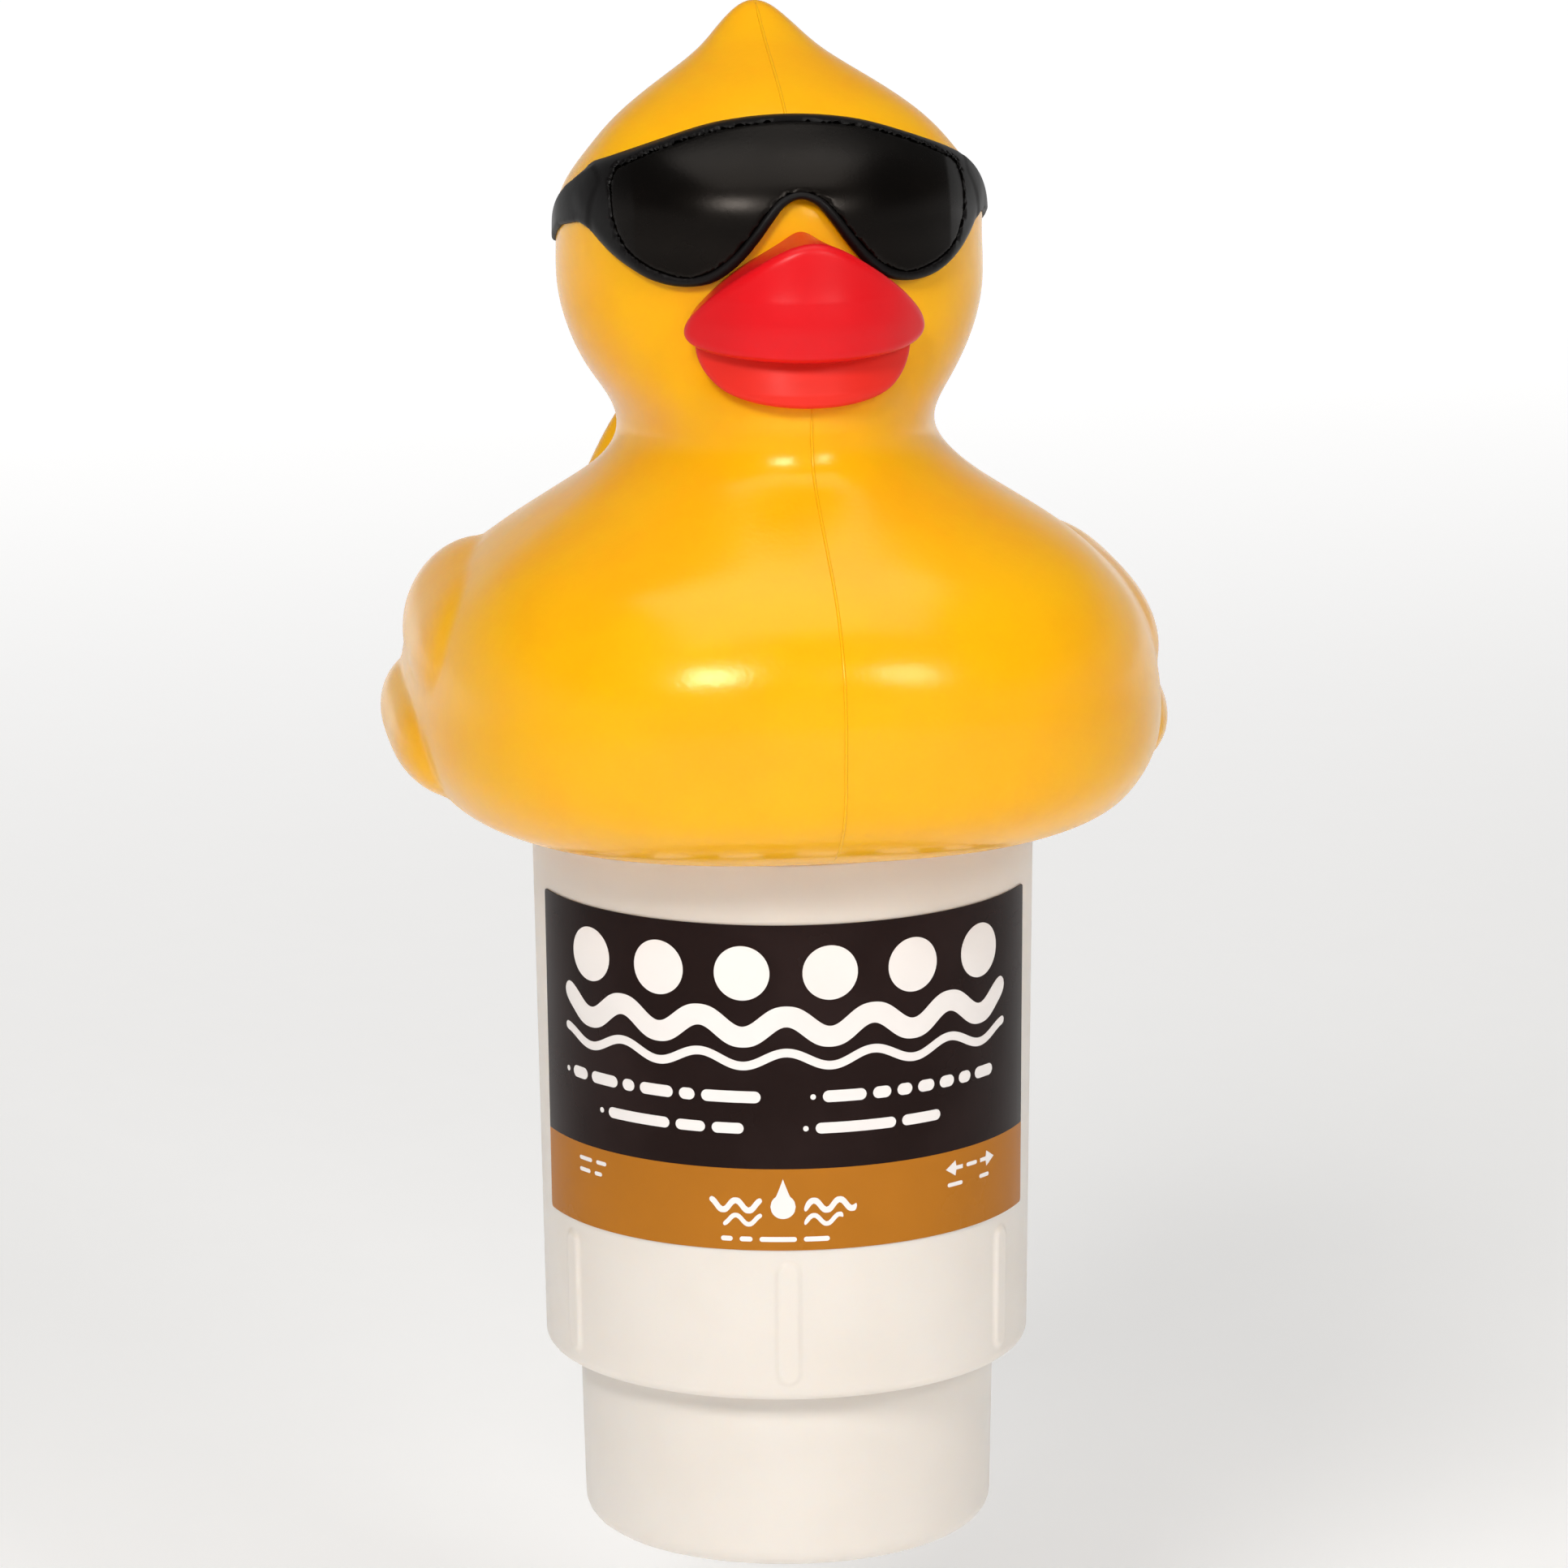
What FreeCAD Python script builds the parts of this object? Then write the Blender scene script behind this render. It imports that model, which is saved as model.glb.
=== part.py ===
import FreeCAD, Part
import math
import os

# Floating chlorine dispenser with a duck-shaped float.
# Millimetres, +Z up.  The origin is on the canister's axis, in the plane that the basket stands on.
# The duck looks along -Y.

V = FreeCAD.Vector
UP = V(0, 0, 1)
ORIGIN = V(0, 0, 0)

# ---- driving dimensions -------------------------------------------------------------------------
TABLET_DIAMETER = 76.0          # the standard three-inch tablet that the basket holds
WALL = 2.2                      # injection-moulded walls of the canister parts
SHELL_WALL = 2.5                # blow-moulded wall of the duck
RUN_GAP = 0.5                   # radial gap between turning or sliding plastic parts

# basket: the telescoping cup
BASKET_R = 46.0
BASKET_TOP = 112.0
BASKET_CORNER = 4.5
BASKET_FLANGE_R = 47.9
BASKET_FLANGE_H = 3.0
RECESS_R = 30.0                 # hollow in the underside that holds the tether ring
RECESS_H = 12.0
EXTEND_TRAVEL = 60.0

# flow sleeve: the outer tube that turns to open the slots
SLEEVE_BOTTOM = 41.0
SLEEVE_TOP = 160.8
SLEEVE_R_BOTTOM = 53.5
SLEEVE_R_TOP = 55.1
SLEEVE_WALL = 2.5
CLOCK = -98.0                   # direction of the label's middle and of one grip rib, in degrees
RIB_COUNT = 6
RIB_WIDTH = 7.5
RIB_PROUD = 1.0
RIB_Z = (44.5, 73.0)

# label: a film round the front of the sleeve
LABEL_Z = (75.4, 147.6)
LABEL_HALF_ANGLE = 71.0
LABEL_THICK = 0.3

# slots that let the water through
SLOT_WIDTH = 3.2
SLOT_Z = (84.0, 140.0)
SLOTS_PER_GROUP = 3
SLOT_PITCH = 10.0
SLOT_GROUPS = 4
FLOW_TURN = 25.0                # turn of the sleeve from shut to fully open, in degrees

# screw neck
LEAD = 12.0                     # drop of the canister in one turn
STARTS = 2
THREAD_DEPTH = 1.5
THREAD_BASE = 3.0
THREAD_CREST = 1.6
NECK_R = 47.0                   # root of the canister's thread
NECK_TOP = 180.0
SOCKET_R = 49.2                 # root of the socket's thread
THREAD_TURNS = 0.62
NECK_THREAD_Z = 168.0           # height of the canister's ridges where they start
SOCKET_THREAD_Z = 171.0         # half a pitch higher, so that the ridges interleave

# float
DUCK_BOTTOM = 162.5
WELL_R = 52.2
WELL_TOP = 186.0
STEP_R = 55.2                   # counterbore round the mouth of the well
STEP_TOP = 167.4
BASE_R = 57.5                   # welded edge of the float's base
WELD_GAP = 0.1
SCREW_CIRCLE_R = 36.0
SCREW_COUNT = 4

# tether ring
RING_R = 8.0
RING_WIRE_R = 1.1
RING_PIVOT_Z = 6.5


# ---- helpers ------------------------------------------------------------------------------------
def turned(points):
    """Solid of revolution about Z from a closed outline of (radius, height) points."""
    corners = [V(r, 0, z) for r, z in points]
    corners.append(corners[0])
    face = Part.Face(Part.makePolygon(corners))
    return face.revolve(ORIGIN, UP, 360)


def ring(inner_r, outer_r, low, high):
    """Plain ring with flat faces."""
    return turned([(inner_r, low), (outer_r, low), (outer_r, high), (inner_r, high)])


def cylinder(radius, low, high, x=0.0, y=0.0):
    """Upright cylinder between two heights."""
    return Part.makeCylinder(radius, high - low, V(x, y, low))


def box(x, y, z):
    """Box from three (low, high) pairs."""
    return Part.makeBox(x[1] - x[0], y[1] - y[0], z[1] - z[0], V(x[0], y[0], z[0]))


def about_z(shape, angle):
    """Copy of a shape turned about the canister's axis."""
    copy = shape.copy()
    copy.rotate(ORIGIN, UP, angle)
    return copy


def around(shape, count, first=0.0):
    """Copies of a shape spread evenly round the canister's axis."""
    return [about_z(shape, first + i * 360.0 / count) for i in range(count)]


def mirrored(shape):
    """Copy of a shape on the other side of the duck's middle plane."""
    return shape.mirror(ORIGIN, V(1, 0, 0))


def ellipsoid(centre, radii, pitch=0.0, roll=0.0, yaw=0.0):
    """Ellipsoid with its own axes turned by three angles."""
    matrix = FreeCAD.Matrix()
    matrix.scale(V(*radii))
    matrix.rotateX(math.radians(pitch))
    matrix.rotateY(math.radians(roll))
    matrix.rotateZ(math.radians(yaw))
    matrix.move(V(*centre))
    return Part.makeSphere(1.0).transformGeometry(matrix)


def save(name, shape):
    """Write one node."""
    clean = shape.removeSplitter()
    if not clean.isValid():
        clean = shape
    print(name, "valid", clean.isValid(), "solids", len(clean.Solids), "volume", round(clean.Volume, 1))
    clean.exportStep("parts/" + name + ".step")


# ---- the duck's form ----------------------------------------------------------------------------
# Rows from the bottom up: height, half width, depth in front of the axis, depth behind it,
# where along the depth it is widest, and the exponent of the plan outline (2 is an ellipse).
DUCK_ROWS = [
    (162.5, 63.5, 62.0, 75.0, 9.0, 2.5),
    (165.5, 71.5, 70.0, 81.0, 10.0, 2.5),
    (170.5, 77.0, 81.0, 92.0, 10.0, 2.5),
    (178.0, 81.0, 88.0, 98.0, 9.0, 2.5),
    (188.0, 82.0, 90.5, 100.5, 8.0, 2.5),
    (198.0, 80.5, 91.0, 99.0, 6.0, 2.5),
    (208.0, 76.5, 88.5, 93.0, -2.0, 2.4),
    (216.0, 70.0, 84.0, 84.0, -12.0, 2.3),
    (223.0, 62.5, 77.5, 74.0, -17.0, 2.2),
    (230.0, 52.0, 67.5, 64.0, -14.0, 2.1),
    (237.0, 41.3, 57.0, 55.0, -7.0, 2.0),
    (243.5, 35.1, 49.0, 50.0, 3.0, 2.0),
    (250.0, 35.0, 46.0, 49.0, 11.0, 2.0),
    (257.0, 39.4, 42.0, 52.0, 13.0, 2.0),
    (266.0, 44.0, 37.0, 56.0, 12.0, 2.0),
    (276.0, 46.4, 34.0, 58.5, 12.5, 2.0),
    (287.0, 46.4, 33.0, 59.0, 13.0, 2.0),
    (297.0, 45.2, 32.0, 57.0, 10.5, 2.0),
    (305.0, 40.0, 27.0, 53.0, 9.0, 2.0),
    (312.0, 33.5, 18.0, 46.5, 11.0, 2.0),
    (319.0, 23.5, 6.0, 41.5, 17.0, 2.0),
    (325.5, 13.2, -10.0, 38.5, 25.0, 2.0),
    (330.5, 7.7, -22.0, 37.5, 30.0, 2.0),
    (334.4, 3.2, -29.2, 35.6, 32.4, 2.0),
    (335.6, 1.0, -31.7, 33.7, 32.7, 2.0),
]
SECTION_POINTS = 32


def signed_power(value, exponent):
    """Power of the size of a value, with the value's own sign."""
    return math.copysign(abs(value) ** exponent, value)


def duck_section(row, grow=0.0):
    """Closed smooth section of the duck at one height."""
    height, half_width, front, back, widest, square = row
    points = []
    for i in range(SECTION_POINTS):
        angle = 2.0 * math.pi * i / SECTION_POINTS
        reach = back - widest if math.sin(angle) > 0 else front + widest
        x = (half_width + grow) * signed_power(math.cos(angle), 2.0 / square)
        y = widest + (reach + grow) * signed_power(math.sin(angle), 2.0 / square)
        points.append(V(x, y, height))
    curve = Part.BSplineCurve()
    curve.interpolate(points, PeriodicFlag=True)
    return Part.Wire(curve.toShape())


def duck_body(rows):
    """Smooth solid through the rows."""
    return Part.makeLoft([duck_section(row) for row in rows], True, False)


def inset_rows(rows, wall):
    """Rows of the hollow inside, one wall thickness in along the surface's normal."""
    inner = []
    for i, (height, half_width, front, back, widest, square) in enumerate(rows):
        below = rows[max(i - 1, 0)]
        above = rows[min(i + 1, len(rows) - 1)]
        rise = above[0] - below[0]
        run = above[1] - below[1]
        length = math.hypot(rise, run)
        side = 0.0 if i == 0 else wall * rise / length
        lift = wall if i == 0 else wall * run / length
        if half_width - side > 3.0:
            inner.append((height + lift, half_width - side, front - side, back - side, widest, square))
    return inner


# Sections of the tail from its root out: (depth behind the axis, height, half width, half thickness).
TAIL_ROWS = [
    (58.0, 200.0, 46.0, 24.0),
    (78.0, 212.0, 38.0, 17.0),
    (93.0, 224.0, 29.5, 11.5),
    (103.0, 236.0, 19.0, 7.2),
    (107.5, 243.5, 9.0, 4.2),
    (109.2, 247.0, 3.4, 2.9),
]
TAIL_PITCH = 52.0               # rise of the tail's line above the level, in degrees


def tail(shrink=0.0):
    """Broad tapered paddle that points up behind the back."""
    sections = []
    for depth, height, half_width, half_thick in TAIL_ROWS:
        if half_thick - shrink < 1.0:
            continue
        ellipse = Part.Ellipse(ORIGIN, half_width - shrink, half_thick - shrink)
        wire = Part.Wire(ellipse.toShape())
        wire.rotate(ORIGIN, V(1, 0, 0), TAIL_PITCH - 90)
        wire.translate(V(0, depth, height))
        sections.append(wire)
    return Part.makeLoft(sections, True, False)


def wing_lobes(shrink=0.0):
    """Upper and lower lobe of both wings."""
    upper = ellipsoid((66, 2, 204), (18.0 - shrink, 52 - shrink, 17.5 - shrink), pitch=6, yaw=6)
    lower = ellipsoid((69, 6, 178.5), (20.0 - shrink, 50 - shrink, 15 - shrink), pitch=6, yaw=6)
    return [upper, lower, mirrored(upper), mirrored(lower)]


def duck_outer():
    """The duck's outside as one solid, without beak or sunglasses."""
    outer = duck_body(DUCK_ROWS)
    return outer.fuse([tail()] + wing_lobes())


def duck_shell(outer):
    """Hollow float, open underneath where the base is welded in."""
    inner = duck_body(inset_rows(DUCK_ROWS, SHELL_WALL))
    inner = inner.fuse([tail(SHELL_WALL)] + wing_lobes(SHELL_WALL))
    mouth = cylinder(BASE_R + WELD_GAP, DUCK_BOTTOM - 1, DUCK_BOTTOM + SHELL_WALL + 1)
    return outer.cut([inner, mouth])


def float_base():
    """Moulded base with the well for the socket and the bosses for its screws."""
    low = DUCK_BOTTOM
    base = turned([
        (STEP_R, low), (BASE_R, low), (BASE_R, low + SHELL_WALL + 0.1), (BASE_R + 3, low + SHELL_WALL + 0.1),
        (BASE_R + 3, low + 2 * SHELL_WALL), (STEP_R + SHELL_WALL, low + 2 * SHELL_WALL),
        (STEP_R + SHELL_WALL, STEP_TOP + SHELL_WALL), (WELL_R + SHELL_WALL, STEP_TOP + SHELL_WALL),
        (WELL_R + SHELL_WALL, WELL_TOP + SHELL_WALL), (0, WELL_TOP + SHELL_WALL), (0, WELL_TOP),
        (WELL_R, WELL_TOP), (WELL_R, STEP_TOP), (STEP_R, STEP_TOP)])
    boss = cylinder(4.5, WELL_TOP + 1, WELL_TOP + 11, SCREW_CIRCLE_R)
    pilot = cylinder(1.7, WELL_TOP - 1, WELL_TOP + 9.5, SCREW_CIRCLE_R)
    base = base.fuse(around(boss, SCREW_COUNT, 45.0))
    return base.cut(around(pilot, SCREW_COUNT, 45.0))


# ---- bill and sunglasses ------------------------------------------------------------------------
# Right half of the sunglasses' outline seen from the front, as (x, z) from the top middle round.
GLASSES_OUTLINE = [(0, 319.5), (17, 318.5), (33, 314.5), (46, 309.0), (53, 304.0), (53, 296.0),
                   (48, 289.0), (39, 285.0), (29, 283.5), (19.5, 286.5), (12, 293.0), (6, 300.0), (0, 302.5)]
LENS_OUTLINE = [(0, 317.0), (17, 316.0), (31, 312.5), (41, 307.5), (44, 302.0), (43, 294.5),
                (37, 288.5), (29, 286.5), (21.5, 289.0), (14, 296.0), (7.5, 303.0), (0, 305.5)]
GLASSES_PROUD = 3.6
LENS_PROUD = 2.8
GLASSES_BACK = 16.0             # how far round the sides the temples reach


def front_prism(half_outline, back):
    """Straight prism along Y from an outline that is the same left and right."""
    left = [(-x, z) for x, z in reversed(half_outline) if x > 0]
    points = [V(x, -70, z) for x, z in half_outline + left]
    curve = Part.BSplineCurve()
    curve.interpolate(points, PeriodicFlag=True)
    return Part.Face(Part.Wire(curve.toShape())).extrude(V(0, 70 + back, 0))


def grown_head(grow):
    """The head's form, a little larger all round."""
    rows = [row for row in DUCK_ROWS if row[0] > 245]
    return Part.makeLoft([duck_section(row, grow) for row in rows], True, False)


def sunglasses(outer):
    """Frame with temples, and the one-piece shield that it carries."""
    lens_prism = front_prism(LENS_OUTLINE, 0)
    frame = grown_head(GLASSES_PROUD).common(front_prism(GLASSES_OUTLINE, GLASSES_BACK))
    frame = frame.cut([outer, lens_prism])
    lens = grown_head(LENS_PROUD).common(lens_prism).cut(outer)
    return frame, lens


def beak(outer, frame, lens):
    """Upper and lower bill, closed on each other and seated on the face."""
    upper = ellipsoid((0, -31, 281.0), (27.0, 24.0, 11.5), pitch=6)
    brow = ellipsoid((0, -30, 287.5), (14.0, 15.0, 8.0), pitch=20)
    lower = ellipsoid((0, -31, 267.5), (23.0, 20.5, 8.0), pitch=-4)
    return upper.fuse([brow, lower]).cut([outer, frame, lens])


# ---- the socket in the float --------------------------------------------------------------------
SOCKET_RIM = 165.25             # lower face of the socket, which the gasket meets
SOCKET_OUT_R = 51.9
SOCKET_FLANGE_R = 54.9
SOCKET_CEILING = 182.6
ORING_Z = (171.0, 173.2)
ORING_GROOVE_R = 50.5
SCREW_SHANK_R = 1.6
SCREW_HEAD_R = 3.4
SCREW_HEAD_H = 2.0


def thread(root_r, depth, start_z, turns, first_angle, embed=0.4):
    """One helical ridge with a tapered section; a negative depth points it inwards."""
    inward = depth < 0
    base_r = root_r + embed if inward else root_r - embed
    crest_r = root_r + depth
    height = LEAD * turns
    helix = Part.makeHelix(LEAD, height, root_r)
    half_base = THREAD_BASE / 2.0
    half_crest = THREAD_CREST / 2.0
    corners = [V(base_r, 0, -half_base), V(crest_r, 0, -half_crest), V(crest_r, 0, half_crest),
               V(base_r, 0, half_base), V(base_r, 0, -half_base)]
    profile = Part.Wire(Part.makePolygon(corners))
    ridge = Part.Wire(helix.Edges).makePipeShell([profile], True, True)
    ridge.translate(V(0, 0, start_z))
    return about_z(ridge, first_angle)


def threads(root_r, depth, start_z, turns, first_angle):
    """All starts of one thread."""
    return [thread(root_r, depth, start_z, turns, first_angle + i * 360.0 / STARTS) for i in range(STARTS)]


def socket_cup():
    """Threaded cup that closes the well in the float."""
    top = WELL_TOP - 0.2
    cup = turned([(SOCKET_R, SOCKET_RIM), (SOCKET_FLANGE_R, SOCKET_RIM), (SOCKET_FLANGE_R, STEP_TOP - 0.2),
                  (SOCKET_OUT_R, STEP_TOP - 0.2), (SOCKET_OUT_R, ORING_Z[0] - 0.2),
                  (ORING_GROOVE_R - 0.1, ORING_Z[0] - 0.2), (ORING_GROOVE_R - 0.1, ORING_Z[1] + 0.2),
                  (SOCKET_OUT_R, ORING_Z[1] + 0.2), (SOCKET_OUT_R, top), (0, top),
                  (0, SOCKET_CEILING), (SOCKET_R, SOCKET_CEILING)])
    cup = cup.fuse(threads(SOCKET_R, -THREAD_DEPTH, SOCKET_THREAD_Z, THREAD_TURNS, 0.0))
    holes = [about_z(cylinder(SCREW_SHANK_R + 0.3, SOCKET_CEILING - 1, top + 1, SCREW_CIRCLE_R), 45 + 90 * i)
             for i in range(SCREW_COUNT)]
    return cup.cut(holes)


def socket_oring():
    """Seal between the socket and the well."""
    return ring(ORING_GROOVE_R, WELL_R - 0.05, ORING_Z[0], ORING_Z[1])


def socket_screws():
    """Pan-head screws that hold the socket, with a cross recess in each head."""
    head_z = SOCKET_CEILING - 0.05
    head = turned([(0, head_z), (SCREW_HEAD_R, head_z), (SCREW_HEAD_R, head_z - 1.2),
                   (SCREW_HEAD_R - 0.9, head_z - SCREW_HEAD_H), (0, head_z - SCREW_HEAD_H)])
    shank = turned([(0, head_z - 0.5), (SCREW_SHANK_R, head_z - 0.5), (SCREW_SHANK_R, head_z + 9.5),
                    (0, head_z + 12.0)])
    screw = head.fuse(shank)
    bottom = head_z - SCREW_HEAD_H
    screw = screw.cut([box((-2.0, 2.0), (-0.4, 0.4), (bottom - 1, bottom + 1.1)),
                       box((-0.4, 0.4), (-2.0, 2.0), (bottom - 1, bottom + 1.1))])
    screw.translate(V(SCREW_CIRCLE_R, 0, 0))
    return Part.makeCompound(around(screw, SCREW_COUNT, 45.0))


# ---- the canister -------------------------------------------------------------------------------
SPIGOT_IN_R = BASKET_R + RUN_GAP
SPIGOT_OUT_R = 48.6
SPIGOT_BOTTOM = 41.3
FLOOR_Z = (46.0, 48.2)
FLANGE_Z = (161.2, 163.2)
FLANGE_R = 54.4
NECK_BORE_R = 44.8
GRIP_Z = (44.2, 45.6)
GRIP_OUT_R = 47.3
SNAP_Z = (42.0, 43.2)
SNAP_GROOVE_R = 48.0
GUIDE_COUNT = 3
GUIDE_WIDTH = 3.0
GUIDE_IN_R = 46.8


def sleeve_r(height):
    """Outer radius of the sleeve, which tapers for its mould."""
    share = (height - SLEEVE_BOTTOM) / (SLEEVE_TOP - SLEEVE_BOTTOM)
    return SLEEVE_R_BOTTOM + share * (SLEEVE_R_TOP - SLEEVE_R_BOTTOM)


def canister_r(height):
    """Outer radius of the canister inside the sleeve."""
    return sleeve_r(height) - SLEEVE_WALL - RUN_GAP


def slot_cutters(first, wall_r):
    """Upright round-ended slots in four groups."""
    reach = wall_r + 8
    half = SLOT_WIDTH / 2.0
    slot = box((wall_r - 8, reach), (-half, half), (SLOT_Z[0] + half, SLOT_Z[1] - half))
    ends = []
    for height in (SLOT_Z[0] + half, SLOT_Z[1] - half):
        ends.append(Part.makeCylinder(half, 16, V(wall_r - 8, 0, height), V(1, 0, 0)))
    slot = slot.fuse(ends)
    cutters = []
    for group in range(SLOT_GROUPS):
        for i in range(SLOTS_PER_GROUP):
            cutters.append(about_z(slot, CLOCK + first + group * 360.0 / SLOT_GROUPS + i * SLOT_PITCH))
    return cutters


def canister():
    """Inner tube with the screw neck, the slots and the spigot that guides the basket."""
    low = canister_r(FLOOR_Z[0])
    high = canister_r(FLANGE_Z[0])
    body = turned([
        (SPIGOT_IN_R, SPIGOT_BOTTOM), (SPIGOT_OUT_R, SPIGOT_BOTTOM),
        (SPIGOT_OUT_R, SNAP_Z[0] - 0.1), (SNAP_GROOVE_R - 0.1, SNAP_Z[0] - 0.1),
        (SNAP_GROOVE_R - 0.1, SNAP_Z[1] + 0.1), (SPIGOT_OUT_R, SNAP_Z[1] + 0.1),
        (SPIGOT_OUT_R, FLOOR_Z[0]), (low, FLOOR_Z[0]), (high, FLANGE_Z[0]),
        (FLANGE_R, FLANGE_Z[0]), (FLANGE_R, FLANGE_Z[1]), (NECK_R, FLANGE_Z[1]), (NECK_R, NECK_TOP - 0.8),
        (NECK_R - 0.8, NECK_TOP), (NECK_BORE_R, NECK_TOP), (NECK_BORE_R, FLANGE_Z[1]),
        (high - WALL, FLANGE_Z[1] - 4.5), (low - WALL, FLOOR_Z[1]), (SPIGOT_IN_R, FLOOR_Z[1]),
        (SPIGOT_IN_R, GRIP_Z[1] + 0.1), (GRIP_OUT_R + 0.1, GRIP_Z[1] + 0.1),
        (GRIP_OUT_R + 0.1, GRIP_Z[0] - 0.1), (SPIGOT_IN_R, GRIP_Z[0] - 0.1)])
    guide = box((GUIDE_IN_R, high - 0.6), (-GUIDE_WIDTH / 2, GUIDE_WIDTH / 2), (FLOOR_Z[1] - 0.5, 156.0))
    envelope = turned([(0, FLOOR_Z[1] - 1), (low - 0.8, FLOOR_Z[1] - 1), (high - 0.8, 158), (0, 158)])
    guides = [piece.common(envelope) for piece in around(guide, GUIDE_COUNT, CLOCK + 60.0)]
    body = body.fuse(guides + threads(NECK_R, THREAD_DEPTH, NECK_THREAD_Z, THREAD_TURNS, 0.0))
    return body.cut(slot_cutters(SLOT_FIRST, canister_r(110)))


def retaining_ring():
    """Split snap ring under the sleeve's lip, with two plier eyes at its gap."""
    body = ring(SNAP_GROOVE_R, 50.2, SNAP_Z[0], SNAP_Z[1])
    eyes = []
    holes = []
    for side in (-1, 1):
        angle = CLOCK + 180 + side * 5.0
        eyes.append(about_z(cylinder(1.35, SNAP_Z[0], SNAP_Z[1], 49.1), angle))
        holes.append(about_z(cylinder(0.6, SNAP_Z[0] - 1, SNAP_Z[1] + 1, 49.1), angle))
    gap = about_z(box((45, 55), (-2.2, 2.2), (SNAP_Z[0] - 1, SNAP_Z[1] + 1)), CLOCK + 180)
    return body.cut(gap).fuse(eyes).cut(holes)


def basket_grip_ring():
    """Rubber ring that rubs on the basket and holds it at any length."""
    return ring(BASKET_R + 0.05, GRIP_OUT_R, GRIP_Z[0], GRIP_Z[1])


def neck_gasket():
    """Flat seal that lies on the canister's flange."""
    return ring(NECK_R + THREAD_DEPTH + 0.3, FLANGE_R - 0.2, FLANGE_Z[1] + 0.05, SOCKET_RIM - 0.05)


# ---- the flow sleeve and its label --------------------------------------------------------------
SLOT_FIRST = 10.0               # first slot of a group in the canister, from CLOCK
LIP_R = 49.1
LIP_Z = (43.5, 45.5)
CORNER = 2.5


def grip_rib():
    """One raised rib with round ends, on the sleeve's face."""
    half = RIB_WIDTH / 2.0
    bar = box((50, 60), (-half, half), (RIB_Z[0] + half, RIB_Z[1] - half))
    ends = [Part.makeCylinder(half, 10, V(50, 0, z), V(1, 0, 0)) for z in (RIB_Z[0] + half, RIB_Z[1] - half)]
    low = sleeve_r(RIB_Z[0])
    high = sleeve_r(RIB_Z[1])
    skin = turned([(low - 1, RIB_Z[0]), (low + RIB_PROUD, RIB_Z[0]), (high + RIB_PROUD, RIB_Z[1]),
                   (high - 1, RIB_Z[1])])
    return bar.fuse(ends).common(skin)


def flow_sleeve():
    """Outer tube that turns on the canister to cover or open the slots."""
    low = SLEEVE_R_BOTTOM
    corner = [(low - CORNER + CORNER * math.sin(math.radians(a)), SLEEVE_BOTTOM + CORNER
               - CORNER * math.cos(math.radians(a))) for a in range(0, 91, 15)]
    inner_low = sleeve_r(LIP_Z[1]) - SLEEVE_WALL
    outline = [(low - SLEEVE_WALL, SLEEVE_BOTTOM + 0.01)] + corner[1:]
    outline += [(sleeve_r(SLEEVE_TOP), SLEEVE_TOP), (sleeve_r(SLEEVE_TOP) - SLEEVE_WALL, SLEEVE_TOP),
                (inner_low, LIP_Z[1]), (LIP_R, LIP_Z[1]), (LIP_R, LIP_Z[0]), (low - SLEEVE_WALL, LIP_Z[0])]
    body = turned(outline)
    body = body.fuse(around(grip_rib(), RIB_COUNT, CLOCK))
    return body.cut(slot_cutters(SLOT_FIRST + FLOW_TURN, sleeve_r(110)))


def label_film():
    """Thin printed film round the front of the sleeve."""
    low = sleeve_r(LABEL_Z[0]) + 0.03
    high = sleeve_r(LABEL_Z[1]) + 0.03
    corners = [V(low, 0, LABEL_Z[0]), V(low + LABEL_THICK, 0, LABEL_Z[0]),
               V(high + LABEL_THICK, 0, LABEL_Z[1]), V(high, 0, LABEL_Z[1]), V(low, 0, LABEL_Z[0])]
    film = Part.Face(Part.makePolygon(corners)).revolve(ORIGIN, UP, 2 * LABEL_HALF_ANGLE)
    return about_z(film, CLOCK - LABEL_HALF_ANGLE)


# ---- the basket and its tether ring -------------------------------------------------------------
LUG_HALF = (1.6, 3.6)
LUG_HOLE_R = 1.7


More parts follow.
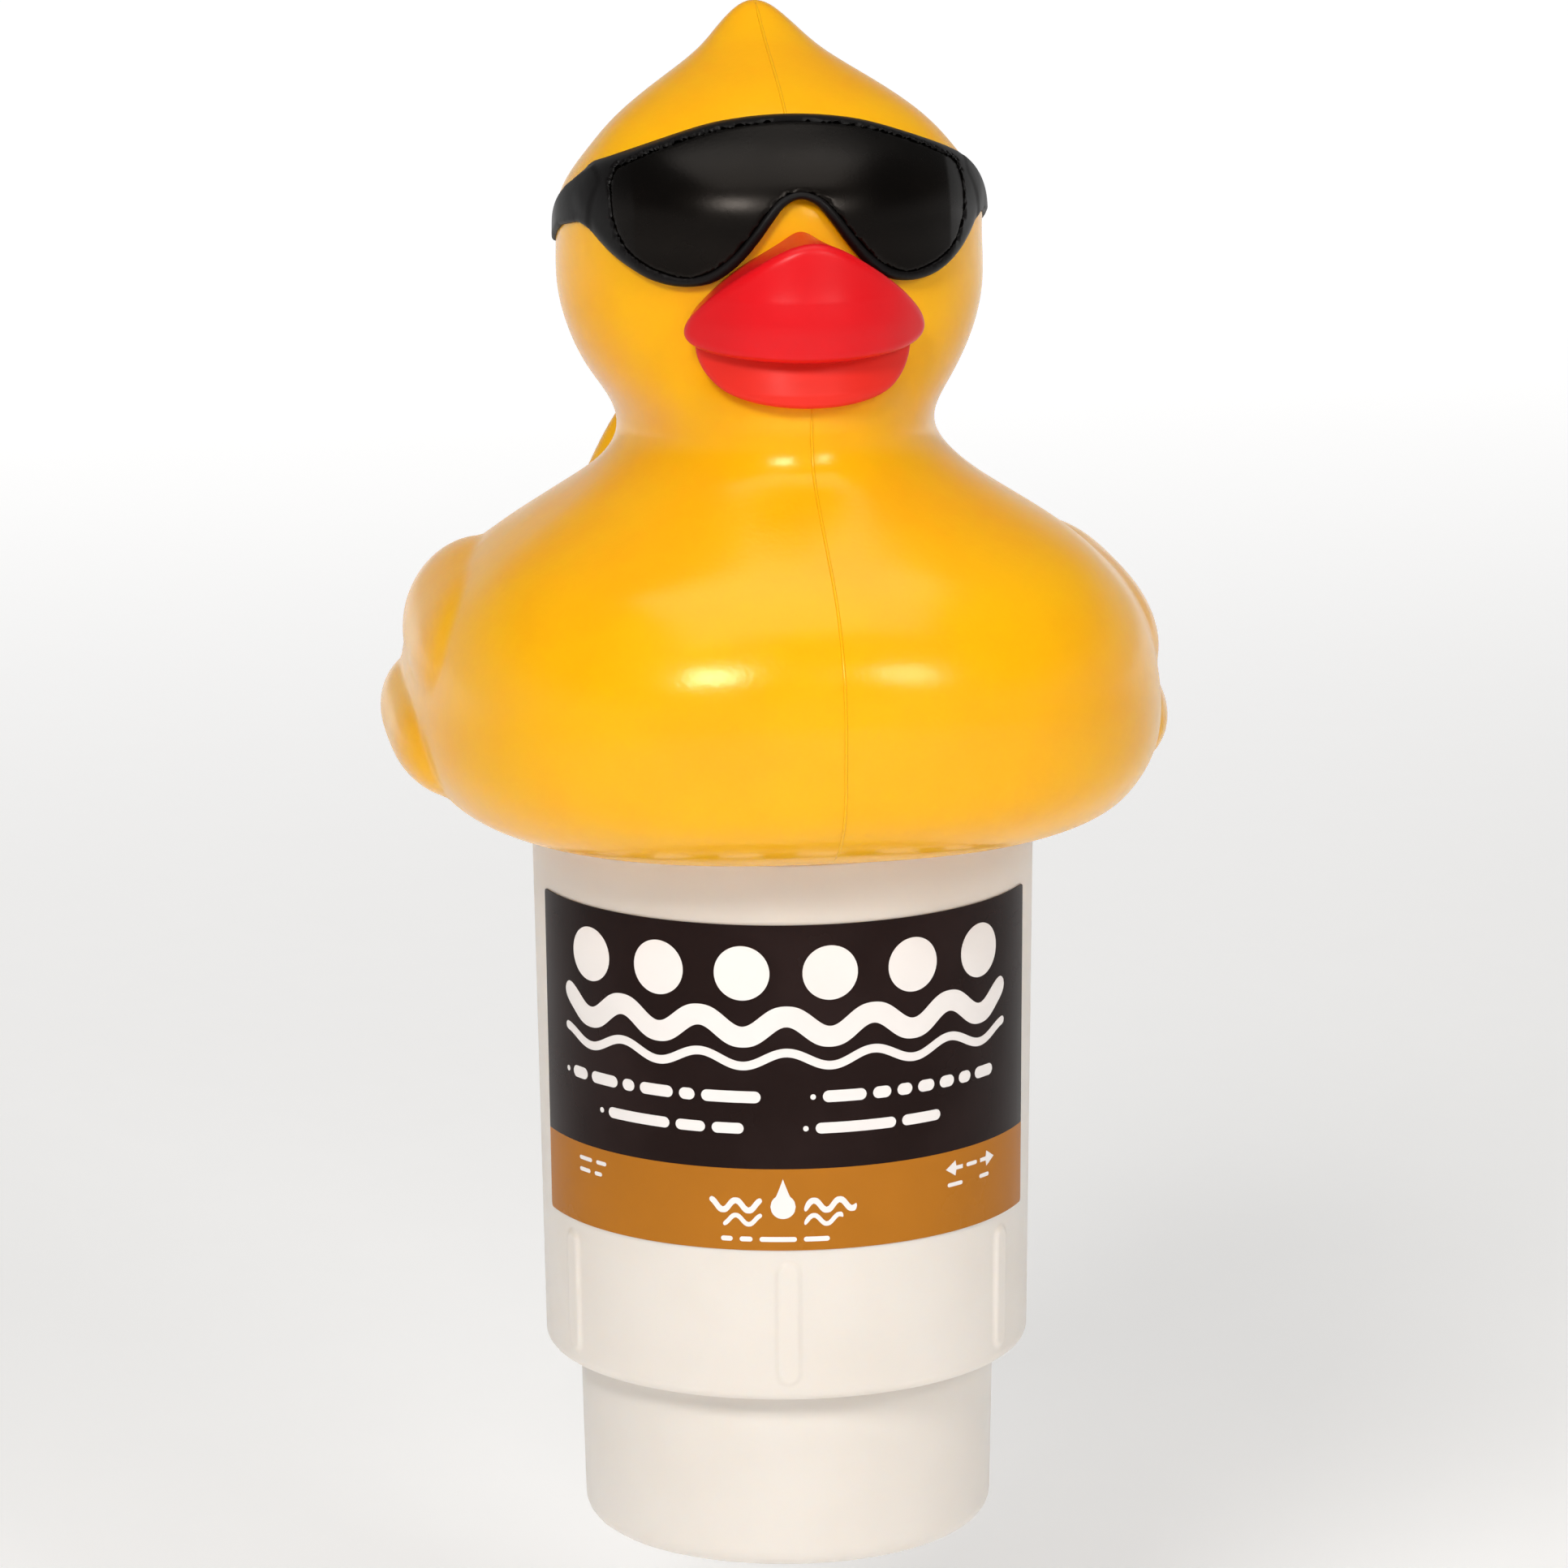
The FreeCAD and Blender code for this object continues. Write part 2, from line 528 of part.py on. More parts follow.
def basket():
    """Telescoping cup with slots, drain holes and a hollow underside with a lug."""
    inner = BASKET_R - WALL
    corner = [(BASKET_R - BASKET_CORNER + BASKET_CORNER * math.sin(math.radians(a)),
               BASKET_CORNER - BASKET_CORNER * math.cos(math.radians(a))) for a in range(0, 91, 10)]
    flange_low = BASKET_TOP - BASKET_FLANGE_H
    outline = [(RECESS_R, 0)] + corner
    outline += [(BASKET_R, flange_low), (BASKET_FLANGE_R, flange_low), (BASKET_FLANGE_R, BASKET_TOP),
                (inner, BASKET_TOP), (inner, BASKET_CORNER), (inner - 2.3, WALL),
                (RECESS_R + WALL, WALL), (RECESS_R + WALL, RECESS_H + WALL), (0, RECESS_H + WALL),
                (0, RECESS_H), (RECESS_R, RECESS_H)]
    body = turned(outline)
    cuts = []
    notch = box((BASKET_R + 0.1, 50), (-GUIDE_WIDTH / 2 - 0.5, GUIDE_WIDTH / 2 + 0.5),
                (flange_low - 1, BASKET_TOP + 1))
    cuts += around(notch, GUIDE_COUNT, CLOCK + 60.0)
    cuts += around(box((40, 50), (-SLOT_WIDTH / 2, SLOT_WIDTH / 2), (54, 102)), 18, CLOCK + 10)
    cuts += around(cylinder(1.9, -1, WALL + 1, 37.5), 12, CLOCK)
    cuts += around(cylinder(1.9, RECESS_H - 1, RECESS_H + WALL + 1, 18), 6, CLOCK)
    body = body.cut(cuts)
    lug = box((-LUG_HALF[0], LUG_HALF[0]), (-LUG_HALF[1], LUG_HALF[1]), (RING_PIVOT_Z, RECESS_H + 0.5))
    nose = Part.makeCylinder(LUG_HALF[1], 2 * LUG_HALF[0], V(-LUG_HALF[0], 0, RING_PIVOT_Z), V(1, 0, 0))
    hole = Part.makeCylinder(LUG_HOLE_R, 10, V(-5, 0, RING_PIVOT_Z), V(1, 0, 0))
    return body.fuse(lug.fuse(nose).cut(hole))


def tether_ring():
    """Wire ring through the lug, folded flat in the hollow."""
    return Part.makeTorus(RING_R, RING_WIRE_R, V(0, RING_R, RING_PIVOT_Z))


# ---- small pieces of the float ------------------------------------------------------------------
PLUG_ANGLE = 90.0
PLUG_R = 4.0
PLUG_CENTRE_R = 66.5


def vent_plug():
    """Push-in plug of the blow hole, in the float's underside behind the canister."""
    plug = turned([(0, DUCK_BOTTOM - 0.9), (PLUG_R, DUCK_BOTTOM - 0.9), (PLUG_R + 0.6, DUCK_BOTTOM - 0.05),
                   (PLUG_R - 1.2, DUCK_BOTTOM - 0.05), (PLUG_R - 1.2, DUCK_BOTTOM + 3.2),
                   (PLUG_R - 1.8, DUCK_BOTTOM + 5.0), (0, DUCK_BOTTOM + 5.0)])
    plug.translate(V(PLUG_CENTRE_R, 0, 0))
    return about_z(plug, PLUG_ANGLE)


def main():
    """Build every piece and write it as its own node."""
    os.makedirs("parts", exist_ok=True)
    outer = duck_outer()
    plug_hole = about_z(cylinder(PLUG_R - 1.1, DUCK_BOTTOM - 2, DUCK_BOTTOM + 6, PLUG_CENTRE_R), PLUG_ANGLE)
    frame, lens = sunglasses(outer)
    save("duck_shell", duck_shell(outer).cut(plug_hole))
    save("float_base", float_base())
    save("beak", beak(outer, frame, lens))
    save("sunglasses_frame", frame)
    save("sunglasses_lens", lens)
    save("socket_cup", socket_cup())
    save("socket_oring", socket_oring())
    save("socket_screws", socket_screws())
    save("vent_plug", vent_plug())
    save("neck_gasket", neck_gasket())
    save("canister", canister())
    save("retaining_ring", retaining_ring())
    save("basket_grip_ring", basket_grip_ring())
    save("flow_sleeve", flow_sleeve())
    save("label_film", label_film())
    save("basket", basket())
    save("tether_ring", tether_ring())


if __name__ == "__main__":
    main()
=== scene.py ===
"""Visual model of a floating chlorine dispenser with a duck-shaped float.

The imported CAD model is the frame.  Every piece here is built in its place round the canister's
axis, in metres, and rides on one of the frame's bodies.  Sizes in the classes are millimetres.
"""
import logging
import math
from dataclasses import dataclass, field
from enum import Enum
from typing import Callable, Sequence

import bmesh
import bpy
import numpy as np
from mathutils import Matrix, Vector


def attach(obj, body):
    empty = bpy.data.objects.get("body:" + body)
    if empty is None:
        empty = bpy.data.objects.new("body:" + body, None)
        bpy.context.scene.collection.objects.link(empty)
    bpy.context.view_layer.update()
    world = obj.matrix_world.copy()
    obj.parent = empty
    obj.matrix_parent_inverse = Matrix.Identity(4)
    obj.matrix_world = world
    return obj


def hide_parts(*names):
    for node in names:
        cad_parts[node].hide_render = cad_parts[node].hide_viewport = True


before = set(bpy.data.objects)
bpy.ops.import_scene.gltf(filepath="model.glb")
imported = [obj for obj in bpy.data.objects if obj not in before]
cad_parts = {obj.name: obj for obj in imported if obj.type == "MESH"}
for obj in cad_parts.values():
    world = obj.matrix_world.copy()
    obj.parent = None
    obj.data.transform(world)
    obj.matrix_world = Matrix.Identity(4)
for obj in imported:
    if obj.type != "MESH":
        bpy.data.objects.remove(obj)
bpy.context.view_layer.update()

LOG = logging.getLogger("dispenser")
MM = 0.001
CLOCK = -98.0                   # direction of the label's middle, in degrees round the axis
Field = Callable[[np.ndarray], np.ndarray]


class Body(str, Enum):
    """Bodies of the frame that the new pieces ride on."""

    FLOAT = "float"
    SLEEVE = "flow_sleeve"
    BASKET = "basket"


class Slot(str, Enum):
    """Material slots of the record, one named for each new piece."""

    DUCK = "duck_yellow"
    BEAK = "beak_red"
    GLASSES = "glasses_black"
    LENS = "lens_black"
    WHITE = "white_plastic"
    LABEL = "label_print"


# ---- shapes as distance fields ------------------------------------------------------------------
def smooth_min(first: np.ndarray, second: np.ndarray, blend: float) -> np.ndarray:
    """Union of two fields with a fillet.

    Args:
        first: Distances to one shape.
        second: Distances to the other shape.
        blend: Width of the fillet.

    Returns:
        Distances to both shapes together.
    """
    share = np.clip(0.5 + 0.5 * (second - first) / blend, 0.0, 1.0)
    return second * (1 - share) + first * share - blend * share * (1 - share)


def smooth_max(first: np.ndarray, second: np.ndarray, blend: float) -> np.ndarray:
    """Overlap of two fields with a rounded edge.

    Args:
        first: Distances to one shape.
        second: Distances to the other shape.
        blend: Width of the rounding.

    Returns:
        Distances to what both shapes share.
    """
    return -smooth_min(-first, -second, blend)


def natural_spline(knots: Sequence[float], values: Sequence[float], samples: np.ndarray) -> np.ndarray:
    """Natural cubic spline through a row of values.

    Args:
        knots: Rising positions of the values.
        values: Values at the knots.
        samples: Positions to read.

    Returns:
        The spline's value at each sample.
    """
    at = np.asarray(knots, float)
    value = np.asarray(values, float)
    gap = np.diff(at)
    count = len(at)
    system = np.eye(count)
    right = np.zeros(count)
    for i in range(1, count - 1):
        system[i, i - 1:i + 2] = (gap[i - 1], 2 * (gap[i - 1] + gap[i]), gap[i])
        right[i] = 6 * ((value[i + 1] - value[i]) / gap[i] - (value[i] - value[i - 1]) / gap[i - 1])
    bend = np.linalg.solve(system, right)
    k = np.clip(np.searchsorted(at, samples) - 1, 0, count - 2)
    after = samples - at[k]
    before = at[k + 1] - samples
    span = gap[k]
    curve = bend[k] * before ** 3 / (6 * span) + bend[k + 1] * after ** 3 / (6 * span)
    curve += (value[k] / span - bend[k] * span / 6) * before
    return curve + (value[k + 1] / span - bend[k + 1] * span / 6) * after


@dataclass(frozen=True)
class Ellipsoid:
    """Ellipsoid with its own axes turned by pitch and roll, in that order."""

    centre: tuple[float, float, float]
    radii: tuple[float, float, float]
    pitch: float = 0.0
    roll: float = 0.0
    blunt: float = 2.0              # 2 for plain ends along Y, more for blunter ones

    def mirrored(self) -> "Ellipsoid":
        """The same lobe on the duck's other side."""
        x, y, z = self.centre
        return Ellipsoid((-x, y, z), self.radii, self.pitch, -self.roll, self.blunt)

    def distance(self, points: np.ndarray) -> np.ndarray:
        """Near distance from the surface.

        Args:
            points: Places to measure from.

        Returns:
            One signed distance a place, negative inside.
        """
        roll = Matrix.Rotation(math.radians(self.roll), 3, "Y")
        turns = roll @ Matrix.Rotation(math.radians(self.pitch), 3, "X")
        local = (points - np.array(self.centre)) @ np.array(turns)
        radii = np.array(self.radii)
        share = local / radii
        inner = (np.hypot(share[..., 0], share[..., 2]) ** self.blunt
                 + np.abs(share[..., 1]) ** self.blunt) ** (1 / self.blunt)
        outer = np.linalg.norm(local / radii ** 2, axis=-1)
        return np.maximum(inner, 0.05) * (inner - 1) / np.maximum(outer, 1e-4)


class Outline:
    """Closed smooth outline in a plane, with a table of distances from it."""

    def __init__(self, points: Sequence[tuple[float, float]], mirror: bool = False, step: float = 0.3,
                 margin: float = 9.0, smooth: bool = True) -> None:
        """Trace the outline and fill the table.

        Args:
            points: Corners of the outline in order.
            mirror: Whether the points are one half, to be repeated on the other side of zero.
            step: Spacing of the table.
            margin: How far the table reaches past the outline.
            smooth: Whether to run a smooth curve through the points.
        """
        corners = list(points)
        if mirror:
            corners += [(-x, z) for x, z in reversed(corners) if x > 0]
        loop = np.array(corners, float)
        if smooth:
            loop = self._rounded(loop)
        self.low = loop.min(axis=0) - margin
        high = loop.max(axis=0) + margin
        self.step = step
        xs = np.arange(self.low[0], high[0] + step, step)
        zs = np.arange(self.low[1], high[1] + step, step)
        grid = np.stack(np.meshgrid(xs, zs, indexing="ij"), -1)
        self.table = self._measure(grid, loop)

    @staticmethod
    def _rounded(loop: np.ndarray) -> np.ndarray:
        """Closed Catmull-Rom curve through the corners.

        Args:
            loop: Corners in order.

        Returns:
            Eight points for each corner.
        """
        before, after, beyond = np.roll(loop, 1, 0), np.roll(loop, -1, 0), np.roll(loop, -2, 0)
        slope = after - before
        bend = 2 * before - 5 * loop + 4 * after - beyond
        twist = 3 * loop - before - 3 * after + beyond
        rows = [0.5 * (2 * loop + slope * t + bend * t ** 2 + twist * t ** 3) for t in np.arange(8) / 8.0]
        return np.stack(rows, 1).reshape(-1, 2)

    @staticmethod
    def _measure(grid: np.ndarray, loop: np.ndarray) -> np.ndarray:
        """Signed distance of every grid point from the loop.

        Args:
            grid: Points of the table.
            loop: Corners of the closed outline.

        Returns:
            Distances, negative inside.
        """
        nearest = np.full(grid.shape[:-1], 1e9)
        inside = np.zeros(grid.shape[:-1], bool)
        for start, end in zip(loop, np.roll(loop, -1, 0)):
            edge = end - start
            offset = grid - start
            share = np.clip((offset @ edge) / max(edge @ edge, 1e-12), 0, 1)
            nearest = np.minimum(nearest, np.linalg.norm(offset - share[..., None] * edge, axis=-1))
            crosses = (start[1] > grid[..., 1]) != (end[1] > grid[..., 1])
            if abs(edge[1]) > 1e-12:
                inside ^= crosses & (grid[..., 0] < start[0] + edge[0] * offset[..., 1] / edge[1])
        return np.where(inside, -nearest, nearest)

    def distance(self, x: np.ndarray, z: np.ndarray) -> np.ndarray:
        """Signed distance from the outline, read from the table.

        Args:
            x: Positions across.
            z: Heights.

        Returns:
            Distances, negative inside.
        """
        rows, columns = self.table.shape
        u = np.clip((x - self.low[0]) / self.step, 0, rows - 1.001)
        v = np.clip((z - self.low[1]) / self.step, 0, columns - 1.001)
        i, j = u.astype(int), v.astype(int)
        a, b = u - i, v - j
        near = self.table[i, j] * (1 - b) + self.table[i, j + 1] * b
        far = self.table[i + 1, j] * (1 - b) + self.table[i + 1, j + 1] * b
        return near * (1 - a) + far * a


@dataclass(frozen=True)
class SurfaceNet:
    """Grid that turns a distance field into a closed quad mesh."""

    low: tuple[float, float, float]
    high: tuple[float, float, float]
    cell: float
    steps: int = 4

    def _values(self, shape: Field) -> np.ndarray:
        """The field at every grid point.

        Args:
            shape: Distance field.

        Returns:
            Three-way table of distances.
        """
        xs, ys, zs = (np.arange(a, b + self.cell, self.cell) for a, b in zip(self.low, self.high))
        values = np.empty((len(xs), len(ys), len(zs)))
        for i, x in enumerate(xs):
            plane = np.stack(np.meshgrid([x], ys, zs, indexing="ij"), -1)[0]
            values[i] = shape(plane)
        return values

    @staticmethod
    def _corners(values: np.ndarray, active: np.ndarray) -> np.ndarray:
        """Mean crossing point of every cell that the surface runs through.

        Args:
            values: Distances at the grid points.
            active: Which cells the surface runs through.

        Returns:
            Positions in cells.
        """
        cells = np.stack(np.nonzero(active), 1)
        total = np.zeros((len(cells), 3))
        count = np.zeros(len(cells))
        for axis in range(3):
            first, second = [a for a in range(3) if a != axis]
            for corner in range(4):
                offset = np.zeros(3, int)
                offset[first], offset[second] = corner & 1, corner >> 1
                start = values[tuple((cells + offset).T)]
                offset[axis] = 1
                end = values[tuple((cells + offset).T)]
                offset[axis] = 0
                crossed = (start < 0) != (end < 0)
                share = np.where(crossed, start / np.where(crossed, start - end, 1.0), 0.0)
                place = np.tile(offset.astype(float), (len(cells), 1))
                place[:, axis] = share
                total += place * crossed[:, None]
                count += crossed
        return cells + total / count[:, None]

    def surface(self, shape: Field) -> tuple[np.ndarray, np.ndarray]:
        """Mesh the field and draw every corner onto its surface.

        Args:
            shape: Distance field.

        Returns:
            Corners in millimetres, and the corners of each quad.
        """
        values = self._values(shape)
        solid = values < 0
        nx, ny, nz = (count - 1 for count in solid.shape)
        total = sum(solid[a:a + nx, b:b + ny, c:c + nz].astype(np.int8)
                    for a in (0, 1) for b in (0, 1) for c in (0, 1))
        active = (total > 0) & (total < 8)
        number = np.full(active.shape, -1)
        number[active] = np.arange(active.sum())
        points = np.array(self.low) + self._corners(values, active) * self.cell
        quads = []
        for axis in range(3):
            first, second = [a for a in range(3) if a != axis]
            here, there = [slice(1, -1)] * 3, [slice(1, -1)] * 3
            here[axis], there[axis] = slice(0, -1), slice(1, None)
            start = solid[tuple(here)]
            crossed = start != solid[tuple(there)]
            edges = np.argwhere(crossed) + np.array([int(a != axis) for a in range(3)])
            loop = []
            for da, db in ((-1, -1), (0, -1), (0, 0), (-1, 0)):
                cell = edges.copy()
                cell[:, first] += da
                cell[:, second] += db
                loop.append(number[tuple(cell.T)])
            quad = np.stack(loop, 1)
            flip = start[crossed] ^ (axis == 1)
            quad[~flip] = quad[~flip][:, ::-1]
            quads.append(quad)
        faces = np.concatenate(quads)
        settled = self._settled(self._evened(points, faces), shape)
        return self._settled(self._evened(settled, faces), shape), faces

    @staticmethod
    def _evened(points: np.ndarray, faces: np.ndarray) -> np.ndarray:
        """Points moved halfway to the middle of their neighbours, to even out the faces.

        Args:
            points: Corners.
            faces: Corners of each quad.

        Returns:
            Evened corners.
        """
        for _ in range(2):
            total, count = np.zeros_like(points), np.zeros(len(points))
            for shift in (1, 3):
                np.add.at(total, faces.ravel(), points[np.roll(faces, shift, axis=1).ravel()])
                np.add.at(count, faces.ravel(), 1.0)
            points = (points + total / np.maximum(count, 1.0)[:, None]) / 2
        return points

    def _settled(self, points: np.ndarray, shape: Field) -> np.ndarray:
        """Draw points onto the surface along the field's slope.

        Args:
            points: Corners near the surface.
            shape: Distance field.

        Returns:
            Corners on the surface.
        """
        reach = 0.05
        axes = np.eye(3) * reach
        for _ in range(self.steps):
            slope = np.stack([(shape(points + a) - shape(points - a)) / (2 * reach) for a in axes], -1)
            length = np.maximum((slope ** 2).sum(-1), 0.05)
            points = points - np.clip(shape(points) / length, -self.cell, self.cell)[:, None] * slope
        return points


# ---- meshes and pieces --------------------------------------------------------------------------
def turn_outwards(mesh: bpy.types.Mesh, merge: bool = False) -> None:
    """Turn all faces of a closed mesh outwards.

    Args:
        mesh: Mesh to change.
        merge: Whether to merge doubled corners and drop edges without faces first.
    """
    work = bmesh.new()
    work.from_mesh(mesh)
    if merge:
        bmesh.ops.remove_doubles(work, verts=work.verts, dist=1e-7)
        loose = [edge for edge in work.edges if not edge.link_faces]
        bmesh.ops.delete(work, geom=loose, context="EDGES")
    bmesh.ops.recalc_face_normals(work, faces=work.faces)
    work.to_mesh(mesh)
    work.free()


def new_mesh(name: str, points: Sequence, faces: Sequence, outwards: bool = True) -> bpy.types.Mesh:
    """Mesh from corners in millimetres.

    Args:
        name: Name of the mesh.
        points: Corners.
        faces: Corners of each face.
        outwards: Whether to turn all faces outwards.

    Returns:
        The new mesh, in metres.
    """
    mesh = bpy.data.meshes.new(name)
    mesh.from_pydata((np.asarray(points, float) * MM).tolist(), [], [list(map(int, f)) for f in faces])
    if outwards:
        turn_outwards(mesh)
    return mesh


def make_piece(name: str, points: Sequence, faces: Sequence, material: bpy.types.Material,
               smooth_angle: float = 35.0, outwards: bool = True) -> bpy.types.Object:
    """Object from corners in millimetres.

    Args:
        name: Name of the piece.
        points: Corners.
        faces: Corners of each face.
        material: Finish of the piece.
        smooth_angle: Edges sharper than this stay crisp, in degrees.
        outwards: Whether to turn all faces outwards.

    Returns:
        The new object, linked to the scene.
    """
    mesh = new_mesh(name, points, faces, outwards)
    piece = bpy.data.objects.new(name, mesh)
    bpy.context.scene.collection.objects.link(piece)
    mesh.materials.append(material)
    soften(mesh, smooth_angle)
    return piece


def soften(mesh: bpy.types.Mesh, angle: float) -> None:
    """Shade a mesh smooth except at its sharp edges.

    Args:
        mesh: Mesh to shade.
        angle: Edges sharper than this stay crisp, in degrees.
    """
    mesh.polygons.foreach_set("use_smooth", [True] * len(mesh.polygons))
    mesh.set_sharp_from_angle(angle=math.radians(angle))
    mesh.update()


def settle(piece: bpy.types.Object, body: Body, slot: Slot, *nodes: str) -> bpy.types.Object:
    """Put a finished piece on its body and hide the CAD nodes that it stands for.

    Args:
        piece: Finished object.
        body: Body that it rides on.
        slot: Material slot of the record, not used.
        nodes: CAD nodes that it replaces.

    Returns:
        The same piece.
    """
    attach(piece, body.value)
    if nodes:
        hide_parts(*nodes)
    LOG.info("%s: %d faces on %s", piece.name, len(piece.data.polygons), body.value)
    return piece


def tube_mesh(path: np.ndarray, radius: float, sides: int = 8) -> tuple[list, list]:
    """Closed round tube along a row of points in a plane that holds X.

    Args:
        path: Points of the tube's middle.
        radius: Radius of the tube, which shrinks at both ends.
        sides: Corners of its section.

    Returns:
        Corners and faces.
    """
    along = np.gradient(path, axis=0)
    along /= np.linalg.norm(along, axis=1)[:, None]
    across = np.cross(along, np.cross(np.array([1.0, 0, 0]), along))
    across /= np.linalg.norm(across, axis=1)[:, None]
    up = np.cross(along, across)
    last = len(path) - 1
    points, faces = [], []
    for i, middle in enumerate(path):
        taper = min(1.0, 0.25 + 0.25 * min(i, last - i))
        for k in range(sides):
            a = 2 * math.pi * k / sides
            points.append(middle + radius * taper * (math.cos(a) * across[i] + math.sin(a) * up[i]))
    for i in range(last):
        for k in range(sides):
            n = (k + 1) % sides
            faces.append((i * sides + k, i * sides + n, (i + 1) * sides + n, (i + 1) * sides + k))
    faces.append(tuple(range(sides)))
    faces.append(tuple(last * sides + k for k in range(sides)))
    return points, faces


# ---- node trees ---------------------------------------------------------------------------------
class Graph:
    """Node tree that is filled by short calls."""

    def __init__(self, tree: bpy.types.NodeTree) -> None:
        """Keep the tree.

        Args:
            tree: Tree to fill.
        """
        self.tree = tree

    def add(self, kind: str, inputs: dict | None = None, **settings: object) -> bpy.types.Node:
        """Add one node.

        Args:
            kind: Type name of the node.
            inputs: Values or sockets for the node's inputs, by name or place.
            settings: Properties of the node.

        Returns:
            The new node.
        """
        node = self.tree.nodes.new(kind)
        for name, value in settings.items():
            setattr(node, name, value)
        for key, value in (inputs or {}).items():
            if isinstance(value, bpy.types.NodeSocket):
                self.tree.links.new(value, node.inputs[key])
            else:
                node.inputs[key].default_value = value
        return node

    def maths(self, operation: str, *values: object) -> bpy.types.NodeSocket:
        """One Math node.

        Args:
            operation: Name of the operation.
            values: Numbers or sockets that it works on.

        Returns:
            Socket with the result.
        """
        return self.add("ShaderNodeMath", dict(enumerate(values)), operation=operation).outputs[0]

    def noise(self, place: bpy.types.NodeSocket, size: float, detail: float) -> bpy.types.NodeSocket:
        """Noise over the surface.

        Args:
            place: Object coordinates.
            size: Millimetres between its patches.
            detail: Layers of finer noise.

        Returns:
            Socket with the noise.
        """
        return self.add("ShaderNodeTexNoise", {"Vector": place, "Scale": 1000 / size,
                                               "Detail": detail}).outputs[0]

    def ramp(self, value: object, low: float, high: float, start: float = 0.0,
             end: float = 1.0) -> bpy.types.NodeSocket:
        """Smooth step between two values.

        Args:
            value: Socket to read.
            low: Where the step starts.
            high: Where the step ends.
            start: Result below the step.
            end: Result above the step.

        Returns:
            Socket with the result.
        """
        node = self.add("ShaderNodeMapRange", {0: value, 1: low, 2: high, 3: start, 4: end},
                        interpolation_type="SMOOTHSTEP")
        return node.outputs[0]


# ---- finishes -----------------------------------------------------------------------------------
Colour = tuple[float, float, float]


@dataclass(frozen=True)
class Finish:
    """Moulded or painted surface with a fine skin, slight colour drift and uneven gloss."""

    name: str
    colour: Colour
    drift_colour: Colour
    roughness: float
    roughness_drift: float = 0.05
    gloss_size: float = 1000 / 60   # millimetres between duller and glossier patches
    grain_size: float = 0.6         # millimetres between the bumps of the skin
    grain_depth: float = 0.02       # millimetres
    wave_size: float = 25.0         # millimetres between slow waves of the wall
    wave_depth: float = 0.04        # millimetres
    drift_size: float = 30.0        # millimetres between the patches of the two colours
    specular: float = 0.5
    sheen_colour: Colour = (1.0, 1.0, 1.0)  # tint of the plain reflection
    glow: float = 0.0               # share of light that passes under the skin
    glow_radius: Colour = (1.0, 0.5, 0.2)
    glow_depth: float = 2.0         # millimetres
    metallic: float = 0.0

    def colour_socket(self, graph: Graph, place: bpy.types.NodeSocket) -> bpy.types.NodeSocket:
        """Colour over the surface.

        Args:
            graph: Tree of the material.
            place: Object coordinates.

        Returns:
            Socket with the colour.
        """
        share = graph.ramp(graph.noise(place, self.drift_size, 3.0), 0.35, 0.7)
        mix = graph.add("ShaderNodeMix", {0: share, 6: (*self.colour, 1), 7: (*self.drift_colour, 1)},
                        data_type="RGBA")
        return mix.outputs[2]

    def bump_socket(self, graph: Graph, place: bpy.types.NodeSocket) -> bpy.types.NodeSocket:
        """Normal with the fine skin and the slow waves.

        Args:
            graph: Tree of the material.
            place: Object coordinates.

        Returns:
            Socket with the normal.
        """
        fine, slow = (graph.noise(place, size, 1.0) for size in (self.grain_size, self.wave_size))
        first = graph.add("ShaderNodeBump", {"Height": slow, "Distance": self.wave_depth * MM})
        second = graph.add("ShaderNodeBump", {"Height": fine, "Distance": self.grain_depth * MM,
                                              "Normal": first.outputs[0]})
        return second.outputs[0]

    def material(self) -> bpy.types.Material:
        """Build the material.

        Returns:
            Material with all its nodes.
        """
        material = bpy.data.materials.new(self.name)
        material.use_nodes = True
        graph = Graph(material.node_tree)
        shader = material.node_tree.nodes["Principled BSDF"]
        place = graph.add("ShaderNodeTexCoord").outputs["Object"]
        link = material.node_tree.links.new
        link(self.colour_socket(graph, place), shader.inputs["Base Color"])
        duller = graph.ramp(graph.noise(place, self.gloss_size, 4.0), 0.3, 0.7,
                            self.roughness - self.roughness_drift, self.roughness + self.roughness_drift)
        link(duller, shader.inputs["Roughness"])
        link(self.bump_socket(graph, place), shader.inputs["Normal"])
        constants = {"Specular IOR Level": self.specular, "Specular Tint": (*self.sheen_colour, 1.0),
                     "Metallic": self.metallic, "Subsurface Weight": self.glow,
                     "Subsurface Radius": self.glow_radius, "Subsurface Scale": self.glow_depth * MM}
        for name, value in constants.items():
            shader.inputs[name].default_value = value
        return material


@dataclass(frozen=True)
class BandedFilm(Finish):
    """Printed film with a dark field above and a bronze band below."""

    band_colour: Colour = (0.5, 0.2, 0.05)
    band_top: float = 93.6          # height of the edge between the two colours
    blot_size: float = 25.0         # millimetres between the band's darker patches

    def colour_socket(self, graph: Graph, place: bpy.types.NodeSocket) -> bpy.types.NodeSocket:
        """Colour that changes at the band's edge.

        Args:
            graph: Tree of the material.
            place: Object coordinates.

        Returns:
            Socket with the colour.
        """
        dark = super().colour_socket(graph, place)
        height = graph.add("ShaderNodeSeparateXYZ", {0: place}).outputs["Z"]
        above = graph.maths("GREATER_THAN", height, self.band_top * MM)
        blot = graph.noise(place, self.blot_size, 5.0)
        band = graph.add("ShaderNodeMix", {0: blot, 6: (*self.band_colour, 1),
                                           7: (*(c * 0.8 for c in self.band_colour), 1)}, data_type="RGBA")
        mix = graph.add("ShaderNodeMix", {0: above, 6: band.outputs[2], 7: dark}, data_type="RGBA")
        return mix.outputs[2]


